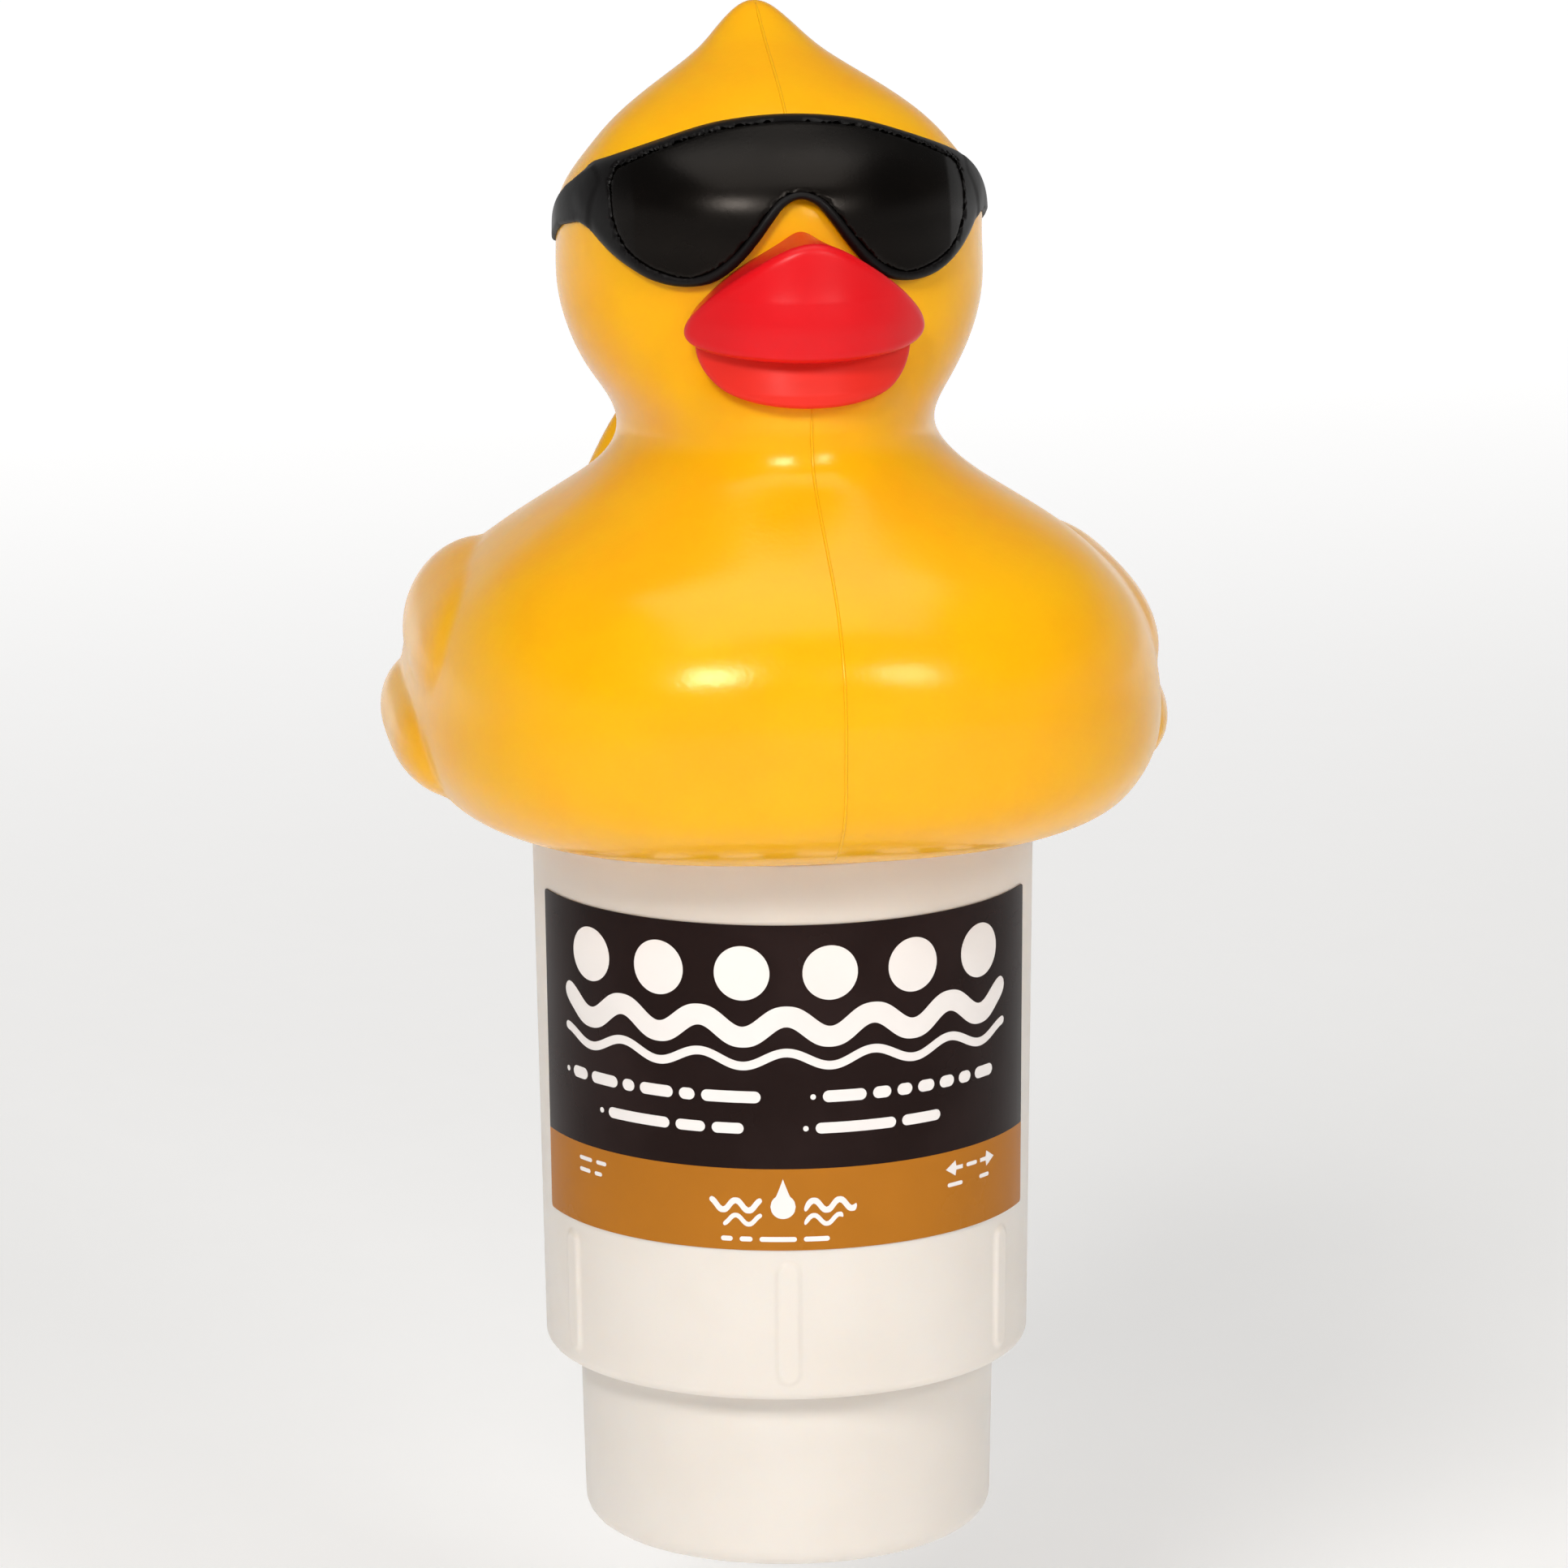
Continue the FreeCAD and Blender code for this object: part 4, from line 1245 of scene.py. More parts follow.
class RibbedWall(WallTree):
    """Rolls an unrolled wall round the axis and raises grip ribs on it.

    The wall comes in with its angle in X, its radius in Y and its height in Z.
    """

    name = "ribbed_wall"
    inputs = (("Rib Count", "Float", 0.0), ("Rib Clock", "Float", 0.0), ("Rib Width", "Float", 0.0075),
              ("Rib Proud", "Float", 0.001), ("Rib Low", "Float", 0.0), ("Rib High", "Float", 0.001),
              ("Rib Inner", "Float", 0.0), ("Rib Edge", "Float", 0.001))

    def _changed(self, graph: Graph, given: bpy.types.bpy_prop_collection) -> bpy.types.NodeSocket:
        """Add the nodes.

        Args:
            graph: Tree to fill.
            given: Sockets of the inputs, by name.

        Returns:
            Socket with the changed wall.
        """
        place = graph.add("GeometryNodeInputPosition").outputs[0]
        angle, radius, height = graph.add("ShaderNodeSeparateXYZ", {0: place}).outputs[:3]
        pitch = graph.maths("DIVIDE", 2 * math.pi, graph.maths("MAXIMUM", given["Rib Count"], 1.0))
        turn = graph.maths("SUBTRACT", angle, given["Rib Clock"])
        half_pitch, back_pitch = (graph.maths("MULTIPLY", pitch, sign * 0.5) for sign in (1, -1))
        off = graph.maths("WRAP", turn, half_pitch, back_pitch)
        side = graph.maths("MULTIPLY", off, radius)
        half = graph.maths("MULTIPLY", given["Rib Width"], 0.5)
        low = graph.maths("ADD", given["Rib Low"], half)
        high = graph.maths("SUBTRACT", given["Rib High"], half)
        nearest = graph.maths("MINIMUM", graph.maths("MAXIMUM", height, low), high)
        clear = graph.maths("SUBTRACT", height, nearest)
        reach = graph.maths("SQRT", graph.maths("ADD", graph.maths("MULTIPLY", side, side),
                                                graph.maths("MULTIPLY", clear, clear)))
        inside = graph.maths("SUBTRACT", half, reach)
        share = graph.add("ShaderNodeMapRange", {0: inside, 1: 0.0, 2: given["Rib Edge"], 3: 0.0, 4: 1.0},
                          interpolation_type="SMOOTHSTEP").outputs[0]
        outer = graph.maths("GREATER_THAN", radius, given["Rib Inner"])
        some = graph.maths("GREATER_THAN", given["Rib Count"], 0.5)
        lift = graph.maths("MULTIPLY", graph.maths("MULTIPLY", share, given["Rib Proud"]),
                           graph.maths("MULTIPLY", outer, some))
        full = graph.maths("ADD", radius, lift)
        x = graph.maths("MULTIPLY", full, graph.maths("COSINE", angle))
        y = graph.maths("MULTIPLY", full, graph.maths("SINE", angle))
        rolled = graph.add("ShaderNodeCombineXYZ", {0: x, 1: y, 2: height}).outputs[0]
        return graph.add("GeometryNodeSetPosition", {0: given["Wall"], "Position": rolled}).outputs[0]


class RoundCuts(WallTree):
    """Repeats a cutter in groups round the axis and takes it out of the wall."""

    name = "round_cuts"
    inputs = (("Cutter", "Object", None), ("Groups", "Int", 1), ("Per Group", "Int", 1),
              ("Pitch", "Float", 0.0), ("First", "Float", 0.0))

    def _changed(self, graph: Graph, given: bpy.types.bpy_prop_collection) -> bpy.types.NodeSocket:
        """Add the nodes.

        Args:
            graph: Tree to fill.
            given: Sockets of the inputs, by name.

        Returns:
            Socket with the changed wall.
        """
        count = graph.maths("MULTIPLY", given["Groups"], given["Per Group"])
        index = graph.add("GeometryNodeInputIndex").outputs[0]
        group = graph.maths("FLOOR", graph.maths("DIVIDE", index, given["Per Group"]))
        within = graph.maths("SUBTRACT", index, graph.maths("MULTIPLY", group, given["Per Group"]))
        around = graph.maths("MULTIPLY", group, graph.maths("DIVIDE", 2 * math.pi, given["Groups"]))
        angle = graph.maths("ADD", graph.maths("ADD", given["First"], around),
                            graph.maths("MULTIPLY", within, given["Pitch"]))
        turn = graph.add("ShaderNodeCombineXYZ", {2: angle}).outputs[0]
        places = graph.add("GeometryNodePoints", {"Count": count}).outputs[0]
        cutter = graph.add("GeometryNodeObjectInfo", {"Object": given["Cutter"]}).outputs["Geometry"]
        copies = graph.add("GeometryNodeInstanceOnPoints", {"Points": places, "Instance": cutter,
                                                            "Rotation": turn}).outputs[0]
        solid = graph.add("GeometryNodeRealizeInstances", {0: copies}).outputs[0]
        return graph.add("GeometryNodeMeshBoolean", {"Mesh 1": given["Wall"], "Mesh 2": solid},
                         operation="DIFFERENCE", solver="EXACT").outputs[0]


class Cutters:
    """Prisms that cut slots and holes."""

    @staticmethod
    def _prism(loop: Sequence[tuple[float, float, float]],
               way: tuple[float, float, float]) -> bpy.types.Object:
        """Closed prism from a loop of points.

        Args:
            loop: Corners of one end.
            way: Vector to the other end.

        Returns:
            Object that isn't in the scene yet.
        """
        count = len(loop)
        points = list(loop) + [tuple(a + b for a, b in zip(p, way)) for p in loop]
        faces = [tuple(range(count)), tuple(range(2 * count - 1, count - 1, -1))]
        faces += [(i, (i + 1) % count, count + (i + 1) % count, count + i) for i in range(count)]
        return bpy.data.objects.new("cutter", new_mesh("cutter", points, faces))

    def radial_slot(self, width: float, low: float, high: float, start: float,
                    end: float) -> bpy.types.Object:
        """Upright round-ended slot that points outwards along X.

        Args:
            width: Width of the slot.
            low: Height of its lower end.
            high: Height of its upper end.
            start: Radius where the cutter starts.
            end: Radius where it ends.

        Returns:
            Cutter.
        """
        half = width / 2
        turns = np.linspace(0, math.pi, 9)
        loop = [(start, half * math.cos(a), high - half + half * math.sin(a)) for a in turns]
        loop += [(start, -half * math.cos(a), low + half - half * math.sin(a)) for a in turns]
        return self._prism(loop, (end - start, 0, 0))

    def hole(self, radius: float, distance: float, low: float, high: float) -> bpy.types.Object:
        """Upright round hole at a distance from the axis.

        Args:
            radius: Radius of the hole.
            distance: Distance of its middle from the axis.
            low: Height where the cutter starts.
            high: Height where it ends.

        Returns:
            Cutter.
        """
        loop = [(distance + radius * math.cos(a), radius * math.sin(a), low)
                for a in np.linspace(0, 2 * math.pi, 24, endpoint=False)]
        return self._prism(loop, (0, 0, high - low))

    def block(self, x: tuple[float, float], half: float, z: tuple[float, float]) -> bpy.types.Object:
        """Plain block that points outwards along X.

        Args:
            x: Radii of its two ends.
            half: Half its width.
            z: Heights of its two faces.

        Returns:
            Cutter.
        """
        loop = [(x[0], -half, z[0]), (x[0], half, z[0]), (x[0], half, z[1]), (x[0], -half, z[1])]
        return self._prism(loop, (x[1] - x[0], 0, 0))


class TurnedShop:
    """Makes turned walls from outlines, with ribs and cuts from the two geometry trees."""

    def __init__(self) -> None:
        """Build both trees."""
        self.ribbed = RibbedWall()
        self.cuts = RoundCuts()

    def wall(self, name: str, path: Sequence[tuple[float, float]], columns: int,
             material: bpy.types.Material, ribs: dict[str, float] | None = None) -> bpy.types.Object:
        """Closed turned wall.

        Args:
            name: Name of the piece.
            path: Closed outline as (radius, height).
            columns: Number of columns round the axis.
            material: Finish.
            ribs: Values of the ribs' inputs, in metres and radians.

        Returns:
            The piece.
        """
        count = len(path)
        points = [(2 * math.pi * i / columns, r * MM, z * MM) for i in range(columns) for r, z in path]
        faces = []
        for i in range(columns):
            n = (i + 1) % columns
            faces += [(i * count + k, n * count + k, n * count + (k + 1) % count, i * count + (k + 1) % count)
                      for k in range(count)]
        mesh = bpy.data.meshes.new(name)
        mesh.from_pydata(points, [], faces)
        piece = bpy.data.objects.new(name, mesh)
        bpy.context.scene.collection.objects.link(piece)
        self.ribbed.run(piece, {"Finish": material, **(ribs or {})})
        turn_outwards(piece.data, merge=True)
        return piece

    def cut(self, piece: bpy.types.Object, cutter: bpy.types.Object, material: bpy.types.Material,
            first: float, groups: int, per_group: int = 1, pitch: float = 0.0) -> None:
        """Repeat one cut round the axis.

        Args:
            piece: Wall to cut.
            cutter: Shape of the cut, which is removed afterwards.
            material: Finish.
            first: Direction of the first cut, in degrees.
            groups: Number of groups round the axis.
            per_group: Cuts in a group.
            pitch: Angle between the cuts of a group, in degrees.
        """
        bpy.context.scene.collection.objects.link(cutter)
        self.cuts.run(piece, {"Cutter": cutter, "Groups": groups, "Per Group": per_group, "Finish": material,
                              "Pitch": math.radians(pitch), "First": math.radians(first)})
        mesh = cutter.data
        bpy.data.objects.remove(cutter)
        bpy.data.meshes.remove(mesh)


@dataclass(frozen=True)
class FlowSleeve:
    """Outer tube that turns to open the slots, with six grip ribs at its foot."""

    bottom: float = 41.0
    top: float = 160.8
    foot_r: float = 53.5
    head_r: float = 55.1
    wall: float = 2.5
    lip_r: float = 49.1
    lip_z: tuple[float, float] = (43.5, 45.5)
    corner: float = 2.5
    rib_count: int = 6
    rib_width: float = 6.0
    rib_proud: float = 0.7
    rib_edge: float = 1.2
    rib_z: tuple[float, float] = (44.5, 73.0)
    slot_width: float = 3.2
    slot_z: tuple[float, float] = (84.0, 140.0)
    slot_first: float = 35.0
    slot_groups: int = 4
    slots_per_group: int = 3
    slot_pitch: float = 10.0
    slot_reach: float = 6.0         # how far the cut runs to either side of the wall
    columns: int = 720

    def radius(self, height: float) -> float:
        """Outer radius at a height."""
        share = (height - self.bottom) / (self.top - self.bottom)
        return self.foot_r + share * (self.head_r - self.foot_r)

    def outline(self) -> list[tuple[float, float]]:
        """Closed outline, dense where the ribs rise.

        Returns:
            Points as (radius, height).
        """
        low, high = self.rib_z
        lip_low, lip_high = self.lip_z
        inner = self.foot_r - self.wall
        fine, coarse = 0.45, 3.0
        runs = ((low - 0.6, low + 5.0, fine), (low + 5.5, high - 5.0, coarse), (high - 4.6, high + 0.9, fine))
        corners = [(inner, self.bottom + 0.01, 0.3), (self.foot_r, self.bottom, self.corner)]
        corners += [(self.radius(z), z, 0.0) for run in runs for z in np.arange(*run)]
        corners += [(self.head_r, self.top, 0.4), (self.head_r - self.wall, self.top, 0.4),
                    (self.radius(lip_high) - self.wall, lip_high, 0.0), (self.lip_r, lip_high, 0.2),
                    (self.lip_r, lip_low, 0.2), (inner, lip_low, 0.0)]
        return rounded_path(corners, 12.0)

    def build(self, shop: TurnedShop, paints: Paints) -> None:
        """Build the sleeve.

        Args:
            shop: Maker of turned walls.
            paints: Source of the materials.
        """
        material = paints.get(WHITE_PLASTIC)
        ribs = {"Rib Count": float(self.rib_count), "Rib Clock": math.radians(CLOCK),
                "Rib Width": self.rib_width * MM, "Rib Proud": self.rib_proud * MM,
                "Rib Low": self.rib_z[0] * MM, "Rib High": self.rib_z[1] * MM,
                "Rib Inner": (self.foot_r - 0.6) * MM, "Rib Edge": self.rib_edge * MM}
        piece = shop.wall("sleeve", self.outline(), self.columns, material, ribs)
        cutter = Cutters().radial_slot(self.slot_width, *self.slot_z, self.foot_r - self.slot_reach,
                                       self.foot_r + self.slot_reach)
        shop.cut(piece, cutter, material, CLOCK + self.slot_first, self.slot_groups, self.slots_per_group,
                 self.slot_pitch)
        soften(piece.data, 40.0)
        settle(piece, Body.SLEEVE, Slot.WHITE, "flow_sleeve")


@dataclass(frozen=True)
class Basket:
    """Telescoping cup that holds the tablets, with slots, drain holes and a hollow foot."""

    radius: float = 46.0
    foot_radius: float = 45.1
    top: float = 112.0
    corner: float = 5.0
    wall: float = 2.2
    flange_r: float = 47.9
    flange_h: float = 3.0
    recess_r: float = 30.0
    recess_h: float = 12.0
    waist_z: float = 42.0           # where the tapering foot ends
    notch_half: float = 2.0
    notch_count: int = 3
    notch_first: float = 60.0       # direction from the label's middle, in degrees
    slot_width: float = 3.2
    slot_z: tuple[float, float] = (54, 102)
    slot_r: tuple[float, float] = (40, 50)
    slot_count: int = 18
    slot_first: float = 10.0
    drain_r: float = 1.9
    drains: tuple = ((37.5, 12), (18, 6))       # distance from the axis and count of each ring
    columns: int = 240
    pivot_z: float = 6.5
    lug_half: tuple[float, float] = (1.6, 3.6)
    lug_hole_r: float = 1.7

    def outline(self) -> list[tuple[float, float]]:
        """Closed outline of the wall.

        Returns:
            Points as (radius, height).
        """
        inner = self.radius - self.wall
        flange_low = self.top - self.flange_h
        under = self.recess_h + self.wall
        corners = [(0.0, self.recess_h, 0.0), (self.recess_r, self.recess_h, 0.8), (self.recess_r, 0.0, 0.8),
                   (self.foot_radius, 0.0, self.corner), (self.radius, self.waist_z, 0.0),
                   (self.radius, flange_low, 0.2), (self.flange_r, flange_low, 0.3),
                   (self.flange_r, self.top, 0.5), (inner, self.top, 0.5), (inner, self.waist_z, 0.0),
                   (self.foot_radius - self.wall, self.wall, 3.0),
                   (self.recess_r + self.wall, self.wall, 0.8), (self.recess_r + self.wall, under, 0.8),
                   (0.0, under, 0.0)]
        return rounded_path(corners, 14.0)

    def lug(self, material: bpy.types.Material) -> bpy.types.Object:
        """Eye under the basket that the tether ring runs through.

        Args:
            material: Finish.

        Returns:
            The piece.
        """
        half_x, half_y = self.lug_half
        top = self.recess_h + 0.4
        half = 16
        count = 2 * half
        outer, inner = [], []
        for k in range(count):
            share = (k % half) / (half - 1)
            below = k < half
            a = math.pi * (1 + share) if below else math.pi * share
            outer.append((half_y * math.cos(a), self.pivot_z + half_y * math.sin(a)) if below
                         else (half_y * (1 - 2 * share), top))
            inner.append((self.lug_hole_r * math.cos(a), self.pivot_z + self.lug_hole_r * math.sin(a)))
        points = [(side * half_x, y, z) for side in (-1, 1) for loop in (outer, inner) for y, z in loop]
        near_out, near_in, far_out, far_in = (count * i for i in range(4))
        faces = []
        for k in range(count):
            n = (k + 1) % count
            faces += [(near_out + k, near_out + n, near_in + n, near_in + k),
                      (far_out + k, far_in + k, far_in + n, far_out + n),
                      (near_out + k, far_out + k, far_out + n, near_out + n),
                      (near_in + k, near_in + n, far_in + n, far_in + k)]
        piece = make_piece("basket_tether_lug", points, faces, material, 40.0)
        bevel = piece.modifiers.new("edge", "BEVEL")
        bevel.width, bevel.segments, bevel.limit_method = 0.3 * MM, 2, "ANGLE"
        return piece

    def build(self, shop: TurnedShop, paints: Paints) -> None:
        """Build the basket and its lug.

        Args:
            shop: Maker of turned walls.
            paints: Source of the materials.
        """
        material = paints.get(WHITE_PLASTIC)
        piece = shop.wall("basket_cup", self.outline(), self.columns, material)
        cutters = Cutters()
        flange_low = self.top - self.flange_h
        notch = cutters.block((self.radius + 0.1, self.slot_r[1]), self.notch_half,
                              (flange_low - 1, self.top + 1))
        shop.cut(piece, notch, material, CLOCK + self.notch_first, self.notch_count)
        slot = cutters.radial_slot(self.slot_width, *self.slot_z, *self.slot_r)
        shop.cut(piece, slot, material, CLOCK + self.slot_first, self.slot_count)
        for (distance, count), floor in zip(self.drains, (0.0, self.recess_h)):
            drain = cutters.hole(self.drain_r, distance, floor - 1, floor + self.wall + 1)
            shop.cut(piece, drain, material, CLOCK, count)
        soften(piece.data, 40.0)
        settle(piece, Body.BASKET, Slot.WHITE, "basket")
        settle(self.lug(material), Body.BASKET, Slot.WHITE)


# ---- the label ----------------------------------------------------------------------------------
@dataclass(frozen=True)
class Label:
    """Printed film round the sleeve's front, with plain pictograms in white ink."""

    sleeve: FlowSleeve
    low: float = 75.4
    high: float = 147.6
    half_angle: float = 71.0
    gap: float = 0.03
    thick: float = 0.3
    ink: float = 0.05
    corner: float = 0.8
    # water lines: start, end, height, rise of a crest, distance between crests, width
    waves: tuple = ((-57.0, 57.0, 125.2, 2.3, 19.0, 4.6), (-57.0, 57.0, 118.0, 1.5, 19.0, 1.9),
                    (-17.0, -5.5, 85.4, 1.1, 5.6, 1.3), (3.5, 15.0, 85.4, 1.1, 5.6, 1.3),
                    (-14.0, -5.5, 82.2, 1.0, 5.6, 1.0), (3.5, 12.0, 82.2, 1.0, 5.6, 1.0))
    tablets: tuple = (6, -47.5, 19.0, 137.0, 6.0)   # count, first place, distance apart, height, radius
    # rows of bars: height, start, lengths, width
    rows: tuple = ((109.6, -57.0, (1.2, 5.2, 8.0, 3.2, 8.2, 3.6, 13.0), 2.6),
                   (109.6, 5.0, (1.2, 9.6, 4.2, 3.6, 4.2, 4.0, 3.6, 6.2), 2.6),
                   (102.6, -45.0, (1.2, 16.2, 6.8, 7.0), 2.4), (102.6, 3.4, (1.2, 18.0, 9.8), 2.4),
                   (90.4, -52.5, (4.4, 3.2), 0.9), (87.8, -52.5, (3.8, 2.4), 0.9),
                   (77.9, -14.5, (2.6, 2.8, 8.0, 5.6), 1.1), (86.0, 37.5, (4.4,), 0.9),
                   (86.0, 47.5, (3.4,), 0.9), (89.6, 43.2, (3.4,), 0.9))
    row_gap: float = 1.5
    arrows: tuple = ((37.0, 5.0, 89.6, -1), (47.8, 5.0, 89.6, 1))   # start, length, height, way
    water_drop: tuple = (-1.0, 85.2, 2.7)       # place, height, radius

    def _place(self, across: float, height: float, lift: float) -> tuple[float, float, float]:
        """Point on the label.

        Args:
            across: Distance along the arc from the label's middle.
            height: Height above the basket's foot.
            lift: Distance out from the sleeve.

        Returns:
            The point in millimetres.
        """
        radius = self.sleeve.radius(height)
        angle = math.radians(CLOCK) + across / radius
        return (radius + lift) * math.cos(angle), (radius + lift) * math.sin(angle), height

    def film(self, material: bpy.types.Material) -> bpy.types.Object:
        """The film with rounded corners.

        Args:
            material: Finish.

        Returns:
            The piece.
        """
        half = math.radians(self.half_angle) * self.sleeve.radius((self.low + self.high) / 2)
        corner = self.corner
        edge = (0.0, 0.1, 0.3, 0.8)
        middle = np.linspace(-half + 2 * corner, half - 2 * corner, 140)
        columns = []
        for s in (*(-half + e for e in edge), *middle, *(half - e for e in edge[::-1])):
            inset = max(0.0, corner - (half - abs(s)))
            drop = corner - math.sqrt(max(corner ** 2 - inset ** 2, 0.0))
            columns.append((s, self.low + drop, self.high - drop))
        points, faces = self._slab(columns, self.gap, self.gap + self.thick, 12)
        return make_piece("label", points, faces, material, 50.0)

    def _slab(self, columns: Sequence[tuple[float, float, float]], inner: float, outer: float,
              rows: int = 1) -> tuple[list, list]:
        """Thin closed patch from upright columns.

        Args:
            columns: Place across, lower end and upper end of each column.
            inner: Lift of the patch's back.
            outer: Lift of its face.
            rows: Rows between the ends.

        Returns:
            Points and faces.
        """
        points, faces = [], []
        stride = 2 * (rows + 1)
        for s, low, high in columns:
            heights = [low + (high - low) * k / rows for k in range(rows + 1)]
            points += [self._place(s, z, outer) for z in heights]
            points += [self._place(s, z, inner) for z in reversed(heights)]
        for i in range(len(columns) - 1):
            for k in range(stride):
                n = (k + 1) % stride
                faces.append((i * stride + k, i * stride + n, (i + 1) * stride + n, (i + 1) * stride + k))
        faces.append(tuple(range(stride)))
        faces.append(tuple((len(columns) - 1) * stride + k for k in range(stride)))
        return points, faces

    def _strip(self, places: Sequence[float],
               band: Callable[[float], tuple[float, float]]) -> tuple[list, list]:
        """Printed mark between a lower and an upper line.

        Args:
            places: Where its columns stand.
            band: Gives the lower and upper line at a place.

        Returns:
            Points and faces.
        """
        columns = []
        for s in places:
            low, high = band(float(s))
            columns.append((float(s), low, max(high, low + 0.02)))
        return self._slab(columns, self.gap + self.thick - 0.05, self.gap + self.thick + self.ink)

    def bar(self, start: float, length: float, height: float, tall: float) -> tuple[list, list]:
        """Round-ended bar.

        Args:
            start: Where it starts.
            length: Its length.
            height: Height of its middle.
            tall: Its width.

        Returns:
            Points and faces.
        """
        half = tall / 2

        def band(s: float) -> tuple[float, float]:
            """Lower and upper line of the bar.

            Args:
                s: Place along the label.

            Returns:
                Heights of the two lines.
            """
            off = max(0.0, start + half - s, s - (start + length - half))
            rise = math.sqrt(max(half ** 2 - off ** 2, 0.0))
            return height - rise, height + rise

        rounding = half * (1 - np.cos(np.linspace(0.08, math.pi / 2, 4 + round(2 * half))))
        straight = np.linspace(start + half, start + length - half, 2 + max(0, int(length - tall)))
        return self._strip([*(start + rounding), *straight[1:-1], *(start + length - rounding[::-1])], band)

    def wave(self, start: float, end: float, height: float, swing: float, length: float,
             tall: float) -> tuple[list, list]:
        """Water line.

        Args:
            start: Where it starts.
            end: Where it ends.
            height: Height of its middle.
            swing: Rise of a crest.
            length: Distance between crests.
            tall: Width of the line.

        Returns:
            Points and faces.
        """
        def band(s: float) -> tuple[float, float]:
            """Lower and upper line of the wave.

            Args:
                s: Place along the label.

            Returns:
                Heights of the two lines.
            """
            turn = 2 * math.pi * s / length
            slope = -2 * math.pi * swing / length * math.sin(turn)
            off = max(0.0, tall / 2 - (s - start), tall / 2 - (end - s)) / (tall / 2)
            half = tall / 2 * math.sqrt(1 + slope ** 2) * math.sqrt(max(1 - off ** 2, 0.0))
            middle = height + swing * math.cos(turn)
            return middle - half, middle + half

        tips = tall / 2 * (1 - np.cos(np.linspace(0.1, math.pi / 2, 5)))
        inside = np.linspace(start + tall / 2, end - tall / 2, math.ceil((end - start) / 0.5))
        return self._strip([*(start + tips), *inside[1:-1], *(end - tips[::-1])], band)

    def disc(self, across: float, height: float, radius: float) -> tuple[list, list]:
        """Round tablet."""
        return self.bar(across - radius, 2 * radius, height, 2 * radius)

    def arrow(self, start: float, length: float, height: float, way: int) -> tuple[list, list]:
        """Arrow along the label.

        Args:
            start: Its left end.
            length: Its length.
            height: Height of its middle.
            way: 1 to the right, -1 to the left.

        Returns:
            Points and faces.
        """
        head, slope, shaft = 3.0, 0.62, 0.45

        def band(s: float) -> tuple[float, float]:
            """Lower and upper line of the arrow.

            Args:
                s: Place along the label.

            Returns:
                Heights of the two lines.
            """
            from_tip = start + length - s if way > 0 else s - start
            half = slope * from_tip if from_tip < head else shaft
            return height - half, height + half

        return self._strip(np.linspace(start, start + length, 21), band)

    def drop(self, across: float, height: float, radius: float) -> tuple[list, list]:
        """Water drop with its point up.

        Args:
            across: Place of its middle.
            height: Height of its round part's middle.
            radius: Radius of the round part.

        Returns:
            Points and faces.
        """
        def band(s: float) -> tuple[float, float]:
            """Lower and upper line of the drop.

            Args:
                s: Place along the label.

            Returns:
                Heights of the two lines.
            """
            off = min(abs(s - across), radius)
            rise = math.sqrt(max(radius ** 2 - off ** 2, 0.0))
            tip = 2.3 * radius * (1 - off / radius) ** 1.25
            return height - rise, height + max(rise, tip)

        return self._strip(np.linspace(across - radius, across + radius, 25), band)

    def marks(self) -> list[tuple[list, list]]:
        """Every printed mark.

        Returns:
            Points and faces of each mark.
        """
        count, first, apart, height, radius = self.tablets
        made = [self.wave(*wave) for wave in self.waves]
        made += [self.disc(first + apart * i, height, radius) for i in range(count)]
        for height, place, lengths, tall in self.rows:
            for length in lengths:
                made.append(self.bar(place, length, height, min(tall, max(length, 1.2))))
                place += length + self.row_gap
        made += [self.drop(*self.water_drop), *(self.arrow(*arrow) for arrow in self.arrows)]
        return made

    def build(self, paints: Paints) -> None:
        """Build the film and the ink.

        Args:
            paints: Source of the materials.
        """
        settle(self.film(paints.get(LABEL_FILM)), Body.SLEEVE, Slot.LABEL, "label_film")
        points, faces = [], []
        for mark_points, mark_faces in self.marks():
            base = len(points)
            points += mark_points
            faces += [tuple(base + k for k in face) for face in mark_faces]
        ink = make_piece("label_ink", points, faces, paints.get(WHITE_INK), 30.0)
        settle(ink, Body.SLEEVE, Slot.LABEL)


# ---- nodes that keep their CAD shape ------------------------------------------------------------
@dataclass(frozen=True)
class CarriedParts:
    """Inner parts whose CAD shape is right, with the finish of each."""

    finishes: tuple = (("float_base", DUCK_SKIN), ("vent_plug", DUCK_SKIN), ("socket_cup", SOCKET_PLASTIC),
                       ("socket_oring", SEAL_RUBBER), ("socket_screws", BRIGHT_STEEL),
                       ("neck_gasket", SEAL_RUBBER), ("canister", INNER_PLASTIC),
                       ("retaining_ring", BRIGHT_STEEL),
                       ("basket_grip_ring", SEAL_RUBBER), ("tether_ring", BRIGHT_STEEL))

    def build(self, paints: Paints) -> None:
        """Dress every carried node.

        Args:
            paints: Source of the materials.
        """
        for name, finish in self.finishes:
            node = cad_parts[name]
            node.data.materials.clear()
            node.data.materials.append(paints.get(finish))
            LOG.info("%s: carried over with %s", name, finish.name)


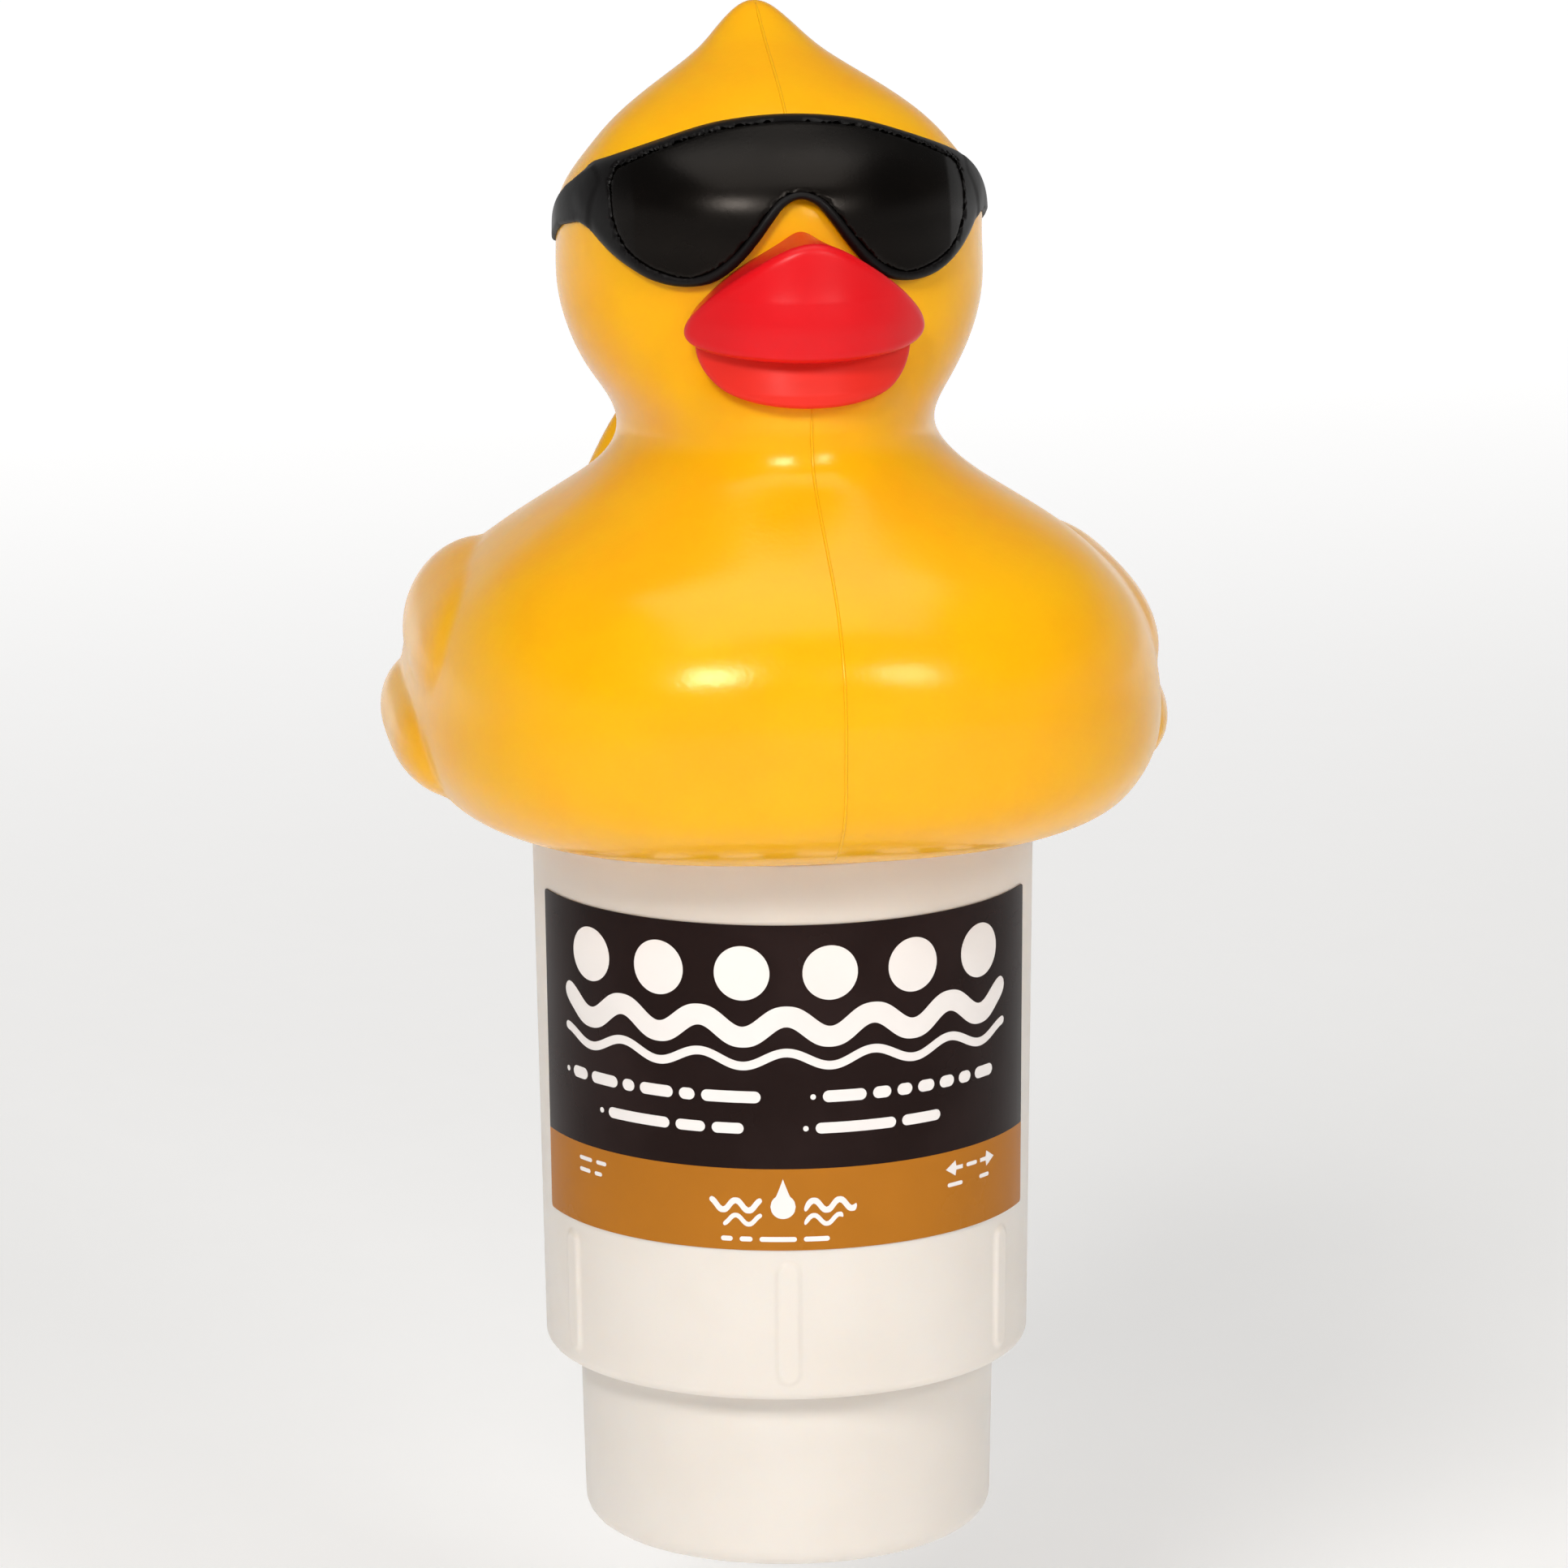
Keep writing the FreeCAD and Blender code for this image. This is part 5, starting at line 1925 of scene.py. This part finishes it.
# ---- studio -------------------------------------------------------------------------------------
@dataclass(frozen=True)
class SoftBox:
    """One rectangular soft light that faces the object."""

    name: str
    place: tuple[float, float, float]
    size: tuple[float, float]
    power: float
    colour: Colour = (1.0, 0.98, 0.95)

    def build(self, target: Vector) -> None:
        """Hang the light.

        Args:
            target: Point that it faces.
        """
        light = bpy.data.lights.new(self.name, "AREA")
        light.shape = "RECTANGLE"
        light.size, light.size_y = self.size
        light.energy = self.power
        light.color = self.colour
        holder = bpy.data.objects.new(self.name, light)
        holder.location = self.place
        holder.rotation_euler = (target - Vector(self.place)).to_track_quat("-Z", "Y").to_euler()
        bpy.context.scene.collection.objects.link(holder)


@dataclass(frozen=True)
class Studio:
    """Pale floor, soft lights, bright surroundings and the camera."""

    azimuth: float = -8.5
    elevation: float = 12.68
    roll: float = -0.46
    distance: float = 1.6
    aim: tuple[float, float, float] = (0.4 * MM, 0.0, 166.1 * MM)
    lens: float = 167.2
    sensor: float = 36.0
    floor_rings: tuple = (0.0, 0.3, 1.0, 3.0, 9.0)  # radii in metres
    target: tuple[float, float, float] = (0.0, 0.0, 0.18)   # where the lights face
    floor_drop: float = 88.0                        # millimetres: below the reach of the extended basket
    floor_glow: tuple[float, float] = (0.26, 0.85)  # light of the floor itself, near and far behind
    glow_run: tuple[float, float] = (0.2, 2.6)      # metres behind the object between the two
    surround: tuple[float, float] = (0.6, 0.12)     # light of the surroundings, at the horizon and high up
    surround_run: tuple[float, float] = (0.02, 0.45)    # sine of the elevation between the two
    lights: tuple = (SoftBox("key_box", (-0.62, -1.35, 1.25), (0.5, 0.4), 16.0),
                     SoftBox("fill_box", (0.62, -1.45, 1.1), (0.36, 0.42), 7.0),
                     SoftBox("top_box", (0.0, -0.2, 1.9), (1.6, 1.4), 13.5))

    def camera(self) -> None:
        """Create the camera and make it the scene's own."""
        e, turn, tilt = (math.radians(a) for a in (self.elevation, self.azimuth, self.roll))
        back = Vector((0, -math.cos(e), math.sin(e)))
        up = Vector((0, math.sin(e), math.cos(e)))
        right = Vector((1, 0, 0))
        tilted_right = right * math.cos(tilt) + up * math.sin(tilt)
        tilted_up = up * math.cos(tilt) - right * math.sin(tilt)
        spin = Matrix.Rotation(turn, 3, "Z")
        basis = Matrix((spin @ tilted_right, spin @ tilted_up, spin @ back)).transposed()
        place = spin @ (Vector(self.aim) + back * self.distance)
        data = bpy.data.cameras.new("camera")
        data.lens, data.sensor_width = self.lens, self.sensor
        data.clip_end = 100.0
        camera = bpy.data.objects.new("camera", data)
        camera.matrix_world = Matrix.Translation(place) @ basis.to_4x4()
        bpy.context.scene.collection.objects.link(camera)
        bpy.context.scene.camera = camera

    def floor(self, paints: Paints) -> None:
        """Lay the floor.

        Args:
            paints: Source of the materials.
        """
        count = 96
        turns = [2 * math.pi * k / count for k in range(count)]
        points = [(0.0, 0.0, -self.floor_drop)]
        points += [(r * math.cos(a) / MM, r * math.sin(a) / MM, -self.floor_drop)
                   for r in self.floor_rings[1:] for a in turns]
        faces = [(0, 1 + k, 1 + (k + 1) % count) for k in range(count)]
        for i in range(len(self.floor_rings) - 2):
            a, b = 1 + i * count, 1 + (i + 1) * count
            faces += [(a + k, b + k, b + (k + 1) % count, a + (k + 1) % count) for k in range(count)]
        graph = Graph(paints.get(PALE_FLOOR).node_tree)
        shader = graph.tree.nodes["Principled BSDF"]
        shader.inputs["Emission Color"].default_value = (1.0, 1.0, 1.0, 1.0)
        place = graph.add("ShaderNodeSeparateXYZ", {0: graph.add("ShaderNodeTexCoord").outputs["Object"]})
        glow = graph.ramp(place.outputs["Y"], *self.glow_run, *self.floor_glow)
        graph.tree.links.new(glow, shader.inputs["Emission Strength"])
        floor = make_piece("studio_floor", points, faces, paints.get(PALE_FLOOR), 180.0, outwards=False)

    def build(self, paints: Paints) -> None:
        """Set up the whole studio.

        Args:
            paints: Source of the materials.
        """
        self.camera()
        self.floor(paints)
        for light in self.lights:
            light.build(Vector(self.target))
        world = bpy.data.worlds.new("studio")
        world.use_nodes = True
        background = world.node_tree.nodes["Background"]
        background.inputs["Color"].default_value = (1.0, 1.0, 1.0, 1.0)
        graph = Graph(world.node_tree)
        way = graph.add("ShaderNodeSeparateXYZ", {0: graph.add("ShaderNodeTexCoord").outputs["Generated"]})
        strength = graph.ramp(way.outputs["Z"], *self.surround_run, *self.surround)
        graph.tree.links.new(strength, background.inputs["Strength"])
        bpy.context.scene.world = world
        bpy.context.scene.view_settings.view_transform = "Standard"


def main() -> None:
    """Build the studio and every piece in order."""
    logging.basicConfig(level=logging.INFO, format="%(name)s %(message)s")
    paints = Paints()
    Studio().build(paints)
    duck = Duck()
    duck.build(paints)
    Bill(duck).build(paints)
    Sunglasses(duck).build(paints)
    shop = TurnedShop()
    sleeve = FlowSleeve()
    sleeve.build(shop, paints)
    Label(sleeve).build(paints)
    Basket().build(shop, paints)
    CarriedParts().build(paints)


if __name__ == "__main__":
    main()
